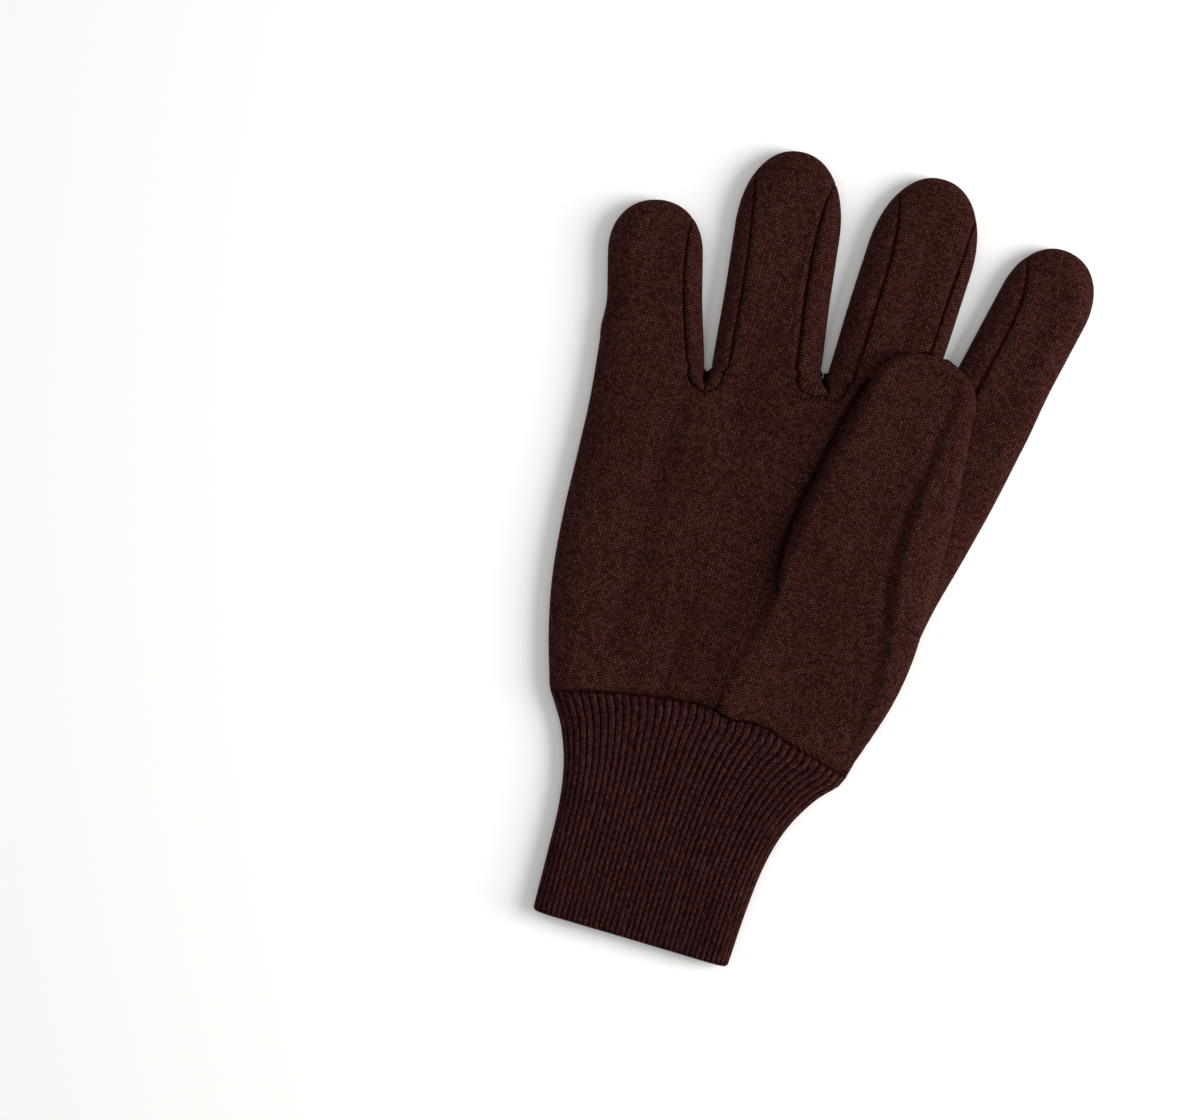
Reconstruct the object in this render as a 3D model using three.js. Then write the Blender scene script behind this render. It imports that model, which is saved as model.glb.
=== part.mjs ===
import * as THREE from 'three';
import { mergeVertices } from 'three/addons/utils/BufferGeometryUtils.js';

// Cotton jersey work glove with a rib knit wrist, for the right hand. It lies on its back with the palm up
// and the thumb folded over the palm. Millimetres: +X towards the thumb, +Y from the wrist to the
// fingertips, +Z up from the surface that it lies on.

// Cloth
const clothWall = 1.3;
const cuffWall = 1.6;
const seamGap = 0.4;
const seamDent = 0.9;
const weldDistance = 0.001;
const sharpestTrim = 0.5;

// Wrist
const cuffLength = 79.5;
const cuffWidth = 66;
const cuffThickness = 8.8;
const wristArch = 9;
const ribCount = 64;
const ribDepth = 0.8;
const cuffRoundness = 0.8;

// Palm and back of the hand
const palmLength = 113.5;
const palmWidth = 124;
const palmThickness = 9.2;

// Fingers
const fingerLength = 74.5;
const fingerWidth = 34.6;
const fingerThickness = 9.8;
const fingertipLength = 25;
const crotchRadius = 1.1;
const crotchBand = 7.5;

// Shape of the fingers and the thumb, as shares: how square their round ends are, where the seams on the
// palm side end along a finger, where a finger has left the crotches' line, and the thumb's taper.
const tipRoundness = 2.15;
const stripEnd = 0.88;
const fingerSettled = 0.4;
const thumbTaper = 1.65;

// Thumb
const thumbLength = 84;
const thumbBaseWidth = 50;
const thumbTipWidth = 35;
const thumbThickness = 8;
const thumbTipLength = 15;
const thumbLean = 3.2;
const thumbClearance = 0.4;
const thumbInset = 0.8;

// How the cloth rounds off towards its outline
const edgeHeight = 3.8;
const topRound = 11;
const bottomRound = 5;
const thumbRound = 8;

// Outline of the palm. up is a share of the palm's height at that place, and left and right are shares of
// palmWidth, measured from the middle of the cuff's hem.
const palmOutline = [
  { up: 0.0, left: -0.391, right: 0.422 },
  { up: 0.16, left: -0.437, right: 0.455 },
  { up: 0.32, left: -0.469, right: 0.486 },
  { up: 0.5, left: -0.487, right: 0.514 },
  { up: 0.66, left: -0.495, right: 0.55 },
  { up: 0.83, left: -0.505, right: 0.586 },
  { up: 1.0, left: -0.524, right: 0.616 },
];

// The lines between two back panels. wrist and knuckle are shares across the palm, and up is the height of
// the crotch as a share of palmLength. The first and last rows are the two outer edges.
const panelLines = [
  { wrist: 0.0, knuckle: 0.0, up: 0.916 },
  { wrist: 0.263, knuckle: 0.258, up: 0.916 },
  { wrist: 0.491, knuckle: 0.516, up: 1.0 },
  { wrist: 0.719, knuckle: 0.77, up: 0.946 },
  { wrist: 1.0, knuckle: 1.0, up: 0.946 },
];

// Fingers from the little finger to the index finger. length is a share of fingerLength and tip of
// fingertipLength. width, and leftStrip and rightStrip, how much of the back panel's sides shows on the palm
// side, are shares of fingerWidth. lean is in degrees towards the thumb.
const fingers = [
  { name: 'little', length: 0.673, width: 0.892, lean: -15.6, tip: 0.7, leftStrip: 0, rightStrip: 0.145 },
  { name: 'ring', length: 0.97, width: 0.987, lean: -7.8, tip: 1.06, leftStrip: 0.159, rightStrip: 0.251 },
  { name: 'middle', length: 1, width: 1.005, lean: 1.4, tip: 1.12, leftStrip: 0.251, rightStrip: 0.145 },
  { name: 'index', length: 0.909, width: 0.864, lean: 11.6, tip: 0.79, leftStrip: 0.251, rightStrip: 0 },
].map(sizedFinger);

// A row of the fingers' table in millimetres.
function sizedFinger(row) {
  return {
    ...row,
    length: row.length * fingerLength,
    width: row.width * fingerWidth,
    tip: row.tip * fingertipLength,
    leftStrip: row.leftStrip * fingerWidth,
    rightStrip: row.rightStrip * fingerWidth,
  };
}

// Outline of the cuff. up is a share of its height, half is its half width and shift its middle's place
// towards the thumb, both as shares of cuffWidth.
const cuffOutline = [
  { up: 0.0, half: 0.495, shift: -0.008 },
  { up: 0.28, half: 0.507, shift: -0.008 },
  { up: 0.5, half: 0.524, shift: -0.004 },
  { up: 0.68, half: 0.565, shift: 0.004 },
  { up: 0.84, half: 0.64, shift: 0.015 },
  { up: 0.94, half: 0.715, shift: 0.025 },
];

// Long folds of the palm side. across and up are shares of the palm at the fold's lower and upper end,
// half is its half width as a share of palmWidth, and rise is a share of palmThickness.
const palmFolds = [
  { across: 0.5, up: 0.0, toAcross: 0.53, toUp: 0.38, half: 0.045, rise: -0.09 },
  { across: 0.29, up: 0.05, toAcross: 0.27, toUp: 0.6, half: 0.06, rise: -0.07 },
  { across: 0.4, up: 0.0, toAcross: 0.42, toUp: 0.5, half: 0.05, rise: 0.05 },
];

// The fold down the thumb. across is a share of its width, along a share of its length from the wrist.
const thumbFold = { across: 0.74, toAcross: 0.8, half: 0.1, rise: -0.14 };
const thumbFoldStart = 0.4;

// The thumb's seam on the palm, as shares across the middle finger's panel, and the crotch's height as a
// share of palmLength. Column 2 of that panel follows the seam.
const thumbSeam = { wrist: 0.11, crotch: 0.29 };
const thumbSeamColumn = 2;
const middlePanel = 2;
const thumbCrotch = 0.43;

// Mesh steps, and rows as shares of the stretch that they divide
const stripSteps = 2;
const frontSteps = 8;
const backSteps = 8;
const thumbSteps = 10;
const belowCrotchRows = [0, 0.25, 0.5, 0.75, 1];
const aboveCrotchRows = [0.25, 0.5, 0.75];
const crotchRows = [1, 0.55, 0.18, 0];
const fingerRows = [0.012, 0.07, 0.2, 0.4, 0.6, 0.8];
const thumbRows = [0.03, 0.15, 0.3, 0.45, 0.6, 0.75, 0.9];
const tipAngles = [0, 24, 43, 60, 76, 90];
const outlineSteps = 48;
const cuffRows = 6;
const cuffRowsToTop = 1.4;
const cuffSectionSteps = 24;

const { lerp, clamp, smoothstep, degToRad } = THREE.MathUtils;
const lerp2 = (a, b, share) => a.clone().lerp(b, share);

// The value of a table's column at a height between its rows, on a smooth curve through them.
function readTable(table, key, up) {
  const at = clamp(up, table[0].up, table[table.length - 1].up);
  let i = table.findIndex((row) => row.up >= at);
  i = clamp(i, 1, table.length - 1);
  const [p0, p1, p2, p3] = [i - 2, i - 1, i, i + 1].map((n) => table[clamp(n, 0, table.length - 1)]);
  const span = p2.up - p1.up;
  const share = (at - p1.up) / span;
  const slope1 = ((p2[key] - p0[key]) / (p2.up - p0.up || span)) * span;
  const slope2 = ((p3[key] - p1[key]) / (p3.up - p1.up || span)) * span;
  const s2 = share * share;
  const s3 = s2 * share;
  return (2 * s3 - 3 * s2 + 1) * p1[key] + (s3 - 2 * s2 + share) * slope1
    + (3 * s2 - 2 * s3) * p2[key] + (s3 - s2) * slope2;
}

// Shares from 0 to 1 that lie closer together towards both ends.
const roundShares = (steps) => Array.from(
  { length: steps + 1 },
  (_, i) => (1 - Math.cos((i / steps) * Math.PI)) / 2,
);

// A quarter ellipse: 0 at the outline, 1 where the cloth lies level.
const roundOff = (distance, round) => Math.sqrt(1 - (1 - clamp(distance / round, 0, 1)) ** 2);

// Height of the arched wrist seam, at a share across the hand.
const wristY = (across) => cuffLength - wristArch * (2 * across - 1) ** 2;

// A plan point of the palm: panel is the finger's number, across a share of the panel, up a share of the
// height from the wrist seam to the knuckle line.
function palmPoint(panel, across, up) {
  const [start, end] = [panelLines[panel], panelLines[panel + 1]];
  const atWrist = lerp(start.wrist, end.wrist, across);
  const atKnuckle = lerp(start.knuckle, end.knuckle, across);
  const left = palmWidth * readTable(palmOutline, 'left', up);
  const right = palmWidth * readTable(palmOutline, 'right', up);
  const knuckleY = cuffLength + palmLength * lerp(start.up, end.up, across);
  return new THREE.Vector2(
    lerp(left, right, lerp(atWrist, atKnuckle, up)),
    lerp(wristY(atWrist), knuckleY, up),
  );
}

// Half the width of a finger or the thumb near its round end, as a share of its full half width.
const tipShare = (pastStart) => (1 - clamp(pastStart, 0, 1) ** tipRoundness) ** (1 / tipRoundness);

// One plan point of a finger's edge. side is -1 for its left edge and 1 for its right edge.
function fingerEdge(panel, side, along) {
  const finger = fingers[panel];
  const lean = degToRad(finger.lean);
  const axis = new THREE.Vector2(Math.sin(lean), Math.cos(lean));
  const sideways = new THREE.Vector2(axis.y, -axis.x);
  const root = palmPoint(panel, side < 0 ? 0 : 1, 1);
  const centre = palmPoint(panel, 0.5, 1).addScaledVector(axis, finger.length * along);
  const tipStart = 1 - finger.tip / finger.length;
  const half = (finger.width / 2) * tipShare((along - tipStart) / (1 - tipStart));
  const isOuterEdge = panel + (side + 1) / 2 === 0 || panel + (side + 1) / 2 === fingers.length;
  const opening = isOuterEdge ? 0 : crotchRadius * roundOff(finger.length * along, crotchRadius);
  const fromRoot = root.addScaledVector(axis, finger.length * along);
  fromRoot.addScaledVector(sideways, -side * opening);
  const settled = centre.addScaledVector(sideways, side * half);
  return lerp2(fromRoot, settled, smoothstep(along, 0, fingerSettled));
}

// The whole outline in plan, from the wrist's left corner round the fingers to its right corner.
function handOutline() {
  const steps = Array.from({ length: outlineSteps + 1 }, (_, i) => i / outlineSteps);
  const outline = steps.map((up) => palmPoint(0, 0, up));
  fingers.forEach((_, panel) => {
    const tipward = steps.map((share) => Math.sin((share * Math.PI) / 2));
    outline.push(...tipward.slice(1).map((along) => fingerEdge(panel, -1, along)));
    outline.push(...tipward.slice(0, -1).reverse().map((along) => fingerEdge(panel, 1, along)));
  });
  outline.push(...steps.toReversed().slice(1).map((up) => palmPoint(fingers.length - 1, 1, up)));
  return outline;
}

// The smallest distance from a plan point to a line of points.
function distanceTo(line, point) {
  let nearest = Infinity;
  for (let i = 1; i < line.length; i += 1) {
    const [a, b] = [line[i - 1], line[i]];
    const [dx, dy] = [b.x - a.x, b.y - a.y];
    const share = clamp(((point.x - a.x) * dx + (point.y - a.y) * dy) / (dx * dx + dy * dy || 1), 0, 1);
    nearest = Math.min(nearest, Math.hypot(a.x + share * dx - point.x, a.y + share * dy - point.y));
  }
  return nearest;
}

const outline = handOutline();

// How far the palm's long folds lift a plan point.
function foldRise(point) {
  return palmFolds.reduce((sum, fold) => {
    const start = palmPointAcross(fold.across, fold.up);
    const end = palmPointAcross(fold.toAcross, fold.toUp);
    const away = distanceTo([start, end], point) / (fold.half * palmWidth);
    return sum + fold.rise * palmThickness * Math.exp(-away * away * 2);
  }, 0);
}

// A plan point of the palm at a share of its whole width.
function palmPointAcross(across, up) {
  const panel = clamp(panelLines.findIndex((line) => line.wrist > across) - 1, 0, fingers.length - 1);
  const [start, end] = [panelLines[panel].wrist, panelLines[panel + 1].wrist];
  if (across >= 1) return palmPoint(fingers.length - 1, 1, up);
  return palmPoint(panel, (across - start) / (end - start), up);
}

// The cloth's height over a plan point, on the palm side and on the back.
function palmSideZ(point, thickness) {
  const rise = foldRise(point);
  return edgeHeight + (thickness - edgeHeight + rise) * roundOff(distanceTo(outline, point), topRound);
}
const backSideZ = (point) => edgeHeight * (1 - roundOff(distanceTo(outline, point), bottomRound));

// Where the middle finger's panel is crossed by the thumb's seam, its columns are drawn over to it.
function seamWarp(panel, share, up) {
  if (panel !== middlePanel) return share;
  const plain = roundShares(frontSteps)[thumbSeamColumn];
  const below = lerp(thumbSeam.wrist, thumbSeam.crotch, clamp(up / thumbCrotch, 0, 1) ** 2);
  const seam = lerp(below, plain, smoothstep(up, thumbCrotch, 1));
  return share < plain ? (share / plain) * seam : 1 - ((1 - share) / (1 - plain)) * (1 - seam);
}

// Rows from the wrist seam to the fingertip, each with its two plan ends, strips and thickness.
function panelRows(panel) {
  const finger = fingers[panel];
  const bandStart = 1 - crotchBand / palmLength;
  const ups = [
    ...belowCrotchRows.map((row) => row * thumbCrotch),
    ...aboveCrotchRows.map((row) => lerp(thumbCrotch, bandStart, row)),
    ...crotchRows.map((row) => 1 - (row * crotchBand) / palmLength),
  ];
  const palm = ups.map((up) => {
    const below = ((1 - up) * palmLength) / crotchBand;
    const strip = below < 1 ? Math.sqrt(1 - below * below) : 0;
    return {
      left: palmPoint(panel, 0, up),
      right: palmPoint(panel, 1, up),
      pointAt: (share) => palmPoint(panel, seamWarp(panel, share, up), up),
      leftStrip: finger.leftStrip * strip,
      rightStrip: finger.rightStrip * strip,
      thickness: palmThickness,
      up,
    };
  });
  const tipStart = 1 - finger.tip / finger.length;
  const alongs = [...fingerRows.map((row) => row * tipStart),
    ...tipAngles.map((angle) => tipStart + (1 - tipStart) * Math.sin(degToRad(angle)))];
  const free = alongs.map((along) => {
    const strip = Math.max(0, 1 - (along / stripEnd) ** 8);
    const [left, right] = [fingerEdge(panel, -1, along), fingerEdge(panel, 1, along)];
    return {
      left,
      right,
      pointAt: (share) => lerp2(left, right, share),
      leftStrip: finger.leftStrip * strip,
      rightStrip: finger.rightStrip * strip,
      thickness: lerp(palmThickness, fingerThickness, smoothstep(along, 0, fingerSettled)),
      up: 1 + along,
    };
  });
  return [...palm, ...free];
}

// Shares across a row, closer together towards the outline: strip, front, strip.
function palmSideShares(row) {
  const width = Math.max(row.left.distanceTo(row.right), 1e-6);
  const [start, end] = [row.leftStrip / width, 1 - row.rightStrip / width];
  const stripShares = roundShares(2 * stripSteps).slice(0, stripSteps).map((share) => 2 * share);
  return [
    ...stripShares.map((share) => start * share),
    ...roundShares(frontSteps).map((share) => lerp(start, end, share)),
    ...stripShares.toReversed().map((share) => 1 - (1 - end) * share),
  ];
}

const at = (point, z) => new THREE.Vector3(point.x, point.y, z);

// Whether a point of a row lies on the outline, where the palm side and the back meet.
function onOutline(panel, row, share) {
  const free = row.up >= 1;
  const closed = row.left.distanceTo(row.right) < 1e-6;
  const leftEnd = share < 1e-6 && (free || panel === 0);
  const rightEnd = share > 1 - 1e-6 && (free || panel === fingers.length - 1);
  return closed || leftEnd || rightEnd;
}

// The cloth's skin is a list of triangles, each marked with the piece that it belongs to.
const skin = [];
function addGrid(grid, pieceAt, flip) {
  for (let i = 0; i + 1 < grid.length; i += 1) {
    for (let j = 0; j + 1 < grid[i].length; j += 1) {
      const piece = typeof pieceAt === 'function' ? pieceAt(i, j) : pieceAt;
      if (!piece) continue;
      const [a, b, c, d] = [grid[i][j], grid[i][j + 1], grid[i + 1][j + 1], grid[i + 1][j]];
      const triangles = a.distanceTo(c) < b.distanceTo(d) ? [[a, b, c], [a, c, d]] : [[a, b, d], [b, c, d]];
      triangles.forEach((t) => skin.push({ piece, points: flip ? [t[0], t[2], t[1]] : t }));
    }
  }
}

const thumbSeamPoints = [];
const thumbSeamUps = [];
const wristOutsideEdge = [];

// The palm side and the back of every panel, from the wrist seam to the fingertips.
function addHand() {
  fingers.forEach((finger, panel) => {
    const rows = panelRows(panel);
    const back = `back_${finger.name}`;
    const palmGrid = rows.map((row) => {
      const shares = palmSideShares(row);
      return shares.map((share, j) => {
        const point = row.pointAt(share);
        if (onOutline(panel, row, share)) return at(point, edgeHeight);
        const onSeam = (j === stripSteps && row.leftStrip > 0)
          || (j === stripSteps + frontSteps && row.rightStrip > 0);
        const strip = Math.min(1, (j === stripSteps ? row.leftStrip : row.rightStrip) / 3);
        const dent = onSeam ? seamDent * strip : 0;
        return at(point, palmSideZ(point, row.thickness) - dent);
      });
    });
    const backGrid = rows.map((row) => roundShares(backSteps).map((share, j) => {
      const point = row.pointAt(share);
      if (onOutline(panel, row, share)) return at(point, edgeHeight);
      const onSeam = j === 0 || j === backSteps;
      const fade = smoothstep(distanceTo(outline, point), 0, bottomRound);
      return at(point, backSideZ(point) + (onSeam ? seamDent * fade : 0));
    }));
    const seamColumn = stripSteps + thumbSeamColumn;
    const underThumb = (i, j) => i + 1 < belowCrotchRows.length
      && (panel > middlePanel || (panel === middlePanel && j >= seamColumn));
    const thumbRowCount = belowCrotchRows.length;
    if (panel === middlePanel) {
      thumbSeamPoints.push(...palmGrid.slice(0, thumbRowCount).map((row) => row[seamColumn]));
      thumbSeamUps.push(...rows.slice(0, thumbRowCount).map((row) => row.up));
    }
    if (panel === fingers.length - 1) {
      wristOutsideEdge.push(...palmGrid.slice(0, thumbRowCount).map((row) => row.at(-1)));
    }
    addGrid(palmGrid, (i, j) => {
      if (underThumb(i, j)) return null;
      return j < stripSteps || j >= stripSteps + frontSteps ? back : 'palm';
    }, false);
    addGrid(backGrid, back, true);
  });
}

// Plan edges of the free thumb, from its crotch to its tip.
function thumbEdges(along) {
  const lean = degToRad(thumbLean);
  const axis = new THREE.Vector2(Math.sin(lean), Math.cos(lean));
  const sideways = new THREE.Vector2(axis.y, -axis.x);
  const [seam, outside] = [thumbSeamPoints.at(-1), wristOutsideEdge.at(-1)];
  const rootRight = new THREE.Vector2(outside.x - thumbInset, outside.y);
  const root = new THREE.Vector2(rootRight.x - thumbBaseWidth / 2, (seam.y + outside.y) / 2);
  const centre = root.clone().addScaledVector(axis, thumbLength * along);
  const tipStart = 1 - thumbTipLength / thumbLength;
  const half = 0.5 * lerp(thumbBaseWidth, thumbTipWidth, Math.min(1, along / tipStart) ** thumbTaper)
    * tipShare((along - tipStart) / (1 - tipStart));
  const skew = ((outside.y - seam.y) / 2) * (1 - smoothstep(along, 0, fingerSettled));
  return {
    left: centre.clone().addScaledVector(sideways, -half).add(new THREE.Vector2(0, -skew)),
    right: centre.clone().addScaledVector(sideways, half).add(new THREE.Vector2(0, skew)),
  };
}

// Heights of the thumb: it rests on the thicker of the palm and the fingers.
const thumbUnder = Math.max(palmThickness, fingerThickness) + thumbClearance;
const thumbEdgeZ = thumbUnder + thumbThickness / 2;
const thumbTop = thumbUnder + thumbThickness;

// Shares across the thumb, closer together towards its edges.
const thumbShares = roundShares(thumbSteps);

// One cross row of the thumb's cloth: a row of edge points is arched by the given rise. The fold is at
// a share of the way up the thumb, and the row has none where upShare is null.
function thumbArch(row, rise, upShare) {
  const width = Math.hypot(row.at(-1).x - row[0].x, row.at(-1).y - row[0].y);
  const foldAt = lerp(thumbFold.across, thumbFold.toAcross, upShare);
  const depth = upShare === null ? 0 : 2 * thumbFold.rise;
  return row.map((point, i) => {
    const share = thumbShares[i];
    const inward = width * Math.min(share, 1 - share);
    const fold = depth * Math.exp(-2 * ((share - foldAt) / thumbFold.half) ** 2);
    const arch = roundOff(inward, Math.min(thumbRound, width / 2 + 1e-6));
    return new THREE.Vector3(point.x, point.y, point.z + rise * (1 + fold) * arch);
  });
}

// The thumb: a base that swells out of the palm below its crotch, and a free tube above it.
function addThumb() {
  const root = thumbEdges(0);
  const plainSeam = roundShares(frontSteps)[thumbSeamColumn];
  const [seamStart, seamEnd] = [panelLines[middlePanel].wrist, panelLines[middlePanel + 1].wrist];
  const baseRows = thumbSeamPoints.map((seam, i) => {
    const outside = wristOutsideEdge[i];
    const up = thumbSeamUps[i];
    const swell = smoothstep(i / (thumbSeamPoints.length - 1), 0, 1);
    const seamAcross = lerp(seamStart, seamEnd, seamWarp(middlePanel, plainSeam, up));
    const onPalm = thumbShares.map((share) => palmPointAcross(lerp(seamAcross, 1, share), up));
    const edges = thumbShares.map((share, n) => {
      const onThumb = lerp2(root.left, root.right, share);
      const x = lerp(onPalm[n].x, onThumb.x, swell);
      const y = lerp(onPalm[n].y, lerp(seam.y, outside.y, share), swell);
      return new THREE.Vector3(x, y, lerp(lerp(seam.z, outside.z, share), thumbEdgeZ, swell));
    });
    const flatRise = palmThickness - lerp(seam.z, outside.z, 0.5);
    const arch = thumbArch(edges, lerp(flatRise, thumbTop - thumbEdgeZ, swell), thumbFoldStart * swell);
    return { seam, outside, arch };
  });
  const tipStart = 1 - thumbTipLength / thumbLength;
  const alongs = [0, ...thumbRows.map((row) => row * tipStart),
    ...tipAngles.map((angle) => tipStart + (1 - tipStart) * Math.sin(degToRad(angle)))];
  const freeRows = alongs.map((along) => {
    const { left, right } = thumbEdges(along);
    const puff = roundOff(thumbLength * (1 - along), thumbRound);
    const edges = thumbShares.map((share) => at(lerp2(left, right, share), thumbEdgeZ));
    const half = (thumbThickness / 2) * puff;
    const upper = thumbArch(edges, half, lerp(thumbFoldStart, 1, along));
    const lower = thumbArch(edges, half, null).map((point) => at(point, 2 * thumbEdgeZ - point.z));
    return { upper, lower };
  });
  const upperRows = [...baseRows.map((row) => row.arch), ...freeRows.slice(1).map((row) => row.upper)];
  addGrid(upperRows, 'thumb_front', false);
  const sideSteps = [0, 0.5, 1];
  const leftSide = baseRows.map((row) => sideSteps.map((step) => row.seam.clone().lerp(row.arch[0], step)));
  const rightSide = baseRows.map(
    (row) => sideSteps.map((step) => row.arch.at(-1).clone().lerp(row.outside, step)),
  );
  addGrid(leftSide, 'thumb_front', false);
  addGrid(rightSide, 'thumb_front', false);
  addGrid(freeRows.slice(1).map((row) => row.lower), 'thumb_back', true);
}

// A geometry of points, with or without a list of its triangles' corners.
function meshGeometry(points, triangles = null) {
  const positions = new THREE.Float32BufferAttribute(points.flatMap((point) => point.toArray()), 3);
  return new THREE.BufferGeometry().setAttribute('position', positions).setIndex(triangles);
}

// One indexed skin with shared vertices, so that neighbouring pieces are offset alike.
function sewnSkin() {
  const sewn = mergeVertices(meshGeometry(skin.flatMap((face) => face.points)), weldDistance);
  sewn.computeVertexNormals();
  return sewn;
}

// A closed wall of cloth under the faces of one piece: the edges are trimmed back for the seam gap.
function clothSolid(sewn, piece, wall) {
  const index = sewn.index.array;
  const vertex = (i) => new THREE.Vector3().fromBufferAttribute(sewn.attributes.position, i);
  const faces = skin.map((face, i) => ({ piece: face.piece, corners: [...index.slice(3 * i, 3 * i + 3)] }))
    .filter((face) => face.piece === piece && new Set(face.corners).size === 3)
    .map((face) => face.corners);
  const directed = new Set(faces.flatMap(([a, b, c]) => [`${a},${b}`, `${b},${c}`, `${c},${a}`]));
  const border = faces.flatMap(([a, b, c]) => [[a, b], [b, c], [c, a]])
    .filter(([a, b]) => !directed.has(`${b},${a}`));
  const trims = new Map();
  border.forEach(([a, b]) => {
    const along = vertex(b).sub(vertex(a)).normalize();
    [a, b].forEach((corner) => {
      const normal = new THREE.Vector3().fromBufferAttribute(sewn.attributes.normal, corner);
      if (!trims.has(corner)) trims.set(corner, []);
      trims.get(corner).push(normal.clone().cross(along).normalize());
    });
  });
  const used = [...new Set(faces.flat())];
  const numberOf = new Map(used.map((corner, i) => [corner, i]));
  const outer = used.map((corner) => {
    const point = vertex(corner);
    const inwards = trims.get(corner);
    if (!inwards) return point;
    const sum = inwards.reduce((total, way) => total.add(way), new THREE.Vector3());
    const reach = Math.max(sharpestTrim, sum.lengthSq() / inwards.length);
    return point.addScaledVector(sum, seamGap / 2 / reach);
  });
  const inner = used.map((corner, i) => {
    const normal = new THREE.Vector3().fromBufferAttribute(sewn.attributes.normal, corner);
    return outer[i].clone().addScaledVector(normal, -wall);
  });
  const count = used.length;
  const triangles = faces.flatMap((face) => {
    const [a, b, c] = face.map((corner) => numberOf.get(corner));
    return [a, b, c, a + count, c + count, b + count];
  });
  border.forEach(([a, b]) => {
    const [p, q] = [numberOf.get(a), numberOf.get(b)];
    triangles.push(p, p + count, q + count, p, q + count, q);
  });
  return meshGeometry([...outer, ...inner], triangles);
}

// A closed section of the cuff at a share of its height, as evenly spaced points.
function cuffSection(up, inset) {
  const wristLeft = palmWidth * readTable(palmOutline, 'left', 0);
  const wristRight = palmWidth * readTable(palmOutline, 'right', 0);
  const shaped = clamp(up / cuffOutline.at(-1).up, 0, 1);
  const half = cuffWidth * readTable(cuffOutline, 'half', up);
  const shift = cuffWidth * readTable(cuffOutline, 'shift', up);
  const top = Math.max(0, (up - cuffOutline.at(-1).up) / (1 - cuffOutline.at(-1).up));
  const [outerLeft, outerRight] = [lerp(shift - half, wristLeft, top), lerp(shift + half, wristRight, top)];
  const [left, right] = [outerLeft + inset, outerRight - inset];
  const thickness = lerp(cuffThickness, palmThickness, shaped ** 2);
  const round = lerp(thickness * cuffRoundness, topRound, shaped ** 2);
  const shares = roundShares(cuffSectionSteps);
  const pointAt = (share, upper) => {
    const x = lerp(left, right, share);
    const inward = (right - left) * Math.min(share, 1 - share);
    const z = upper
      ? edgeHeight + (thickness - edgeHeight - inset) * roundOff(inward, round)
      : edgeHeight - (edgeHeight - inset) * roundOff(inward, bottomRound);
    const y = (wristY((x - outerLeft) / (outerRight - outerLeft)) - seamGap) * up;
    return new THREE.Vector3(x, y, z);
  };
  const points = [...shares.map((share) => pointAt(share, true)),
    ...shares.toReversed().slice(1, -1).map((share) => pointAt(share, false))];
  const section = new THREE.CatmullRomCurve3(points, true).getSpacedPoints(2 * ribCount).slice(0, -1);
  section.forEach((point) => point.setZ(clamp(point.z, inset, thickness - inset)));
  return section;
}

// The rib knit cuff: ribs stand out of an oval tube that is open at both ends.
function cuffGeometry() {
  const columns = 2 * ribCount;
  const ups = Array.from({ length: cuffRows + 1 }, (_, i) => 1 - (1 - i / cuffRows) ** cuffRowsToTop);
  const outer = ups.map((up) => {
    const section = cuffSection(up, 0);
    return section.map((point, j) => {
      const [before, after] = [section.at(j - 1), section[(j + 1) % columns]];
      const outwards = new THREE.Vector3(before.z - after.z, 0, after.x - before.x).normalize();
      return point.clone().addScaledVector(outwards, j % 2 ? -ribDepth : 0);
    });
  });
  const inner = ups.map((up) => cuffSection(up, cuffWall));
  const rings = [...outer, ...inner.toReversed()];
  const triangles = [];
  rings.forEach((_, i) => {
    const next = (i + 1) % rings.length;
    for (let j = 0; j < columns; j += 1) {
      const side = (j + 1) % columns;
      const [a, b, c, d] = [i * columns + j, i * columns + side, next * columns + side, next * columns + j];
      triangles.push(a, b, c, a, c, d);
    }
  });
  return meshGeometry(rings.flat(), triangles);
}

const jersey = () => new THREE.MeshStandardMaterial({ color: 0x3d2019, roughness: 0.95, metalness: 0 });
const ribKnit = () => new THREE.MeshStandardMaterial({ color: 0x371c17, roughness: 0.95, metalness: 0 });

function namedMesh(name, geometry, material) {
  geometry.computeVertexNormals();
  const mesh = new THREE.Mesh(geometry, material);
  mesh.name = name;
  return mesh;
}

addHand();
addThumb();
const sewn = sewnSkin();
const glove = new THREE.Group();
const pieces = ['palm', ...fingers.map((finger) => `back_${finger.name}`), 'thumb_front', 'thumb_back'];
pieces.forEach((piece) => glove.add(namedMesh(piece, clothSolid(sewn, piece, clothWall), jersey())));
glove.add(namedMesh('cuff', cuffGeometry(), ribKnit()));

// The origin is under the middle of the glove, on the surface that it lies on.
const box = new THREE.Box3().setFromObject(glove);
const middle = box.getCenter(new THREE.Vector3());
glove.position.set(-middle.x, -middle.y, -box.min.z);

export default glove;
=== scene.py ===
import math

import bpy
import numpy as np
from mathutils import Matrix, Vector, kdtree


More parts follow.
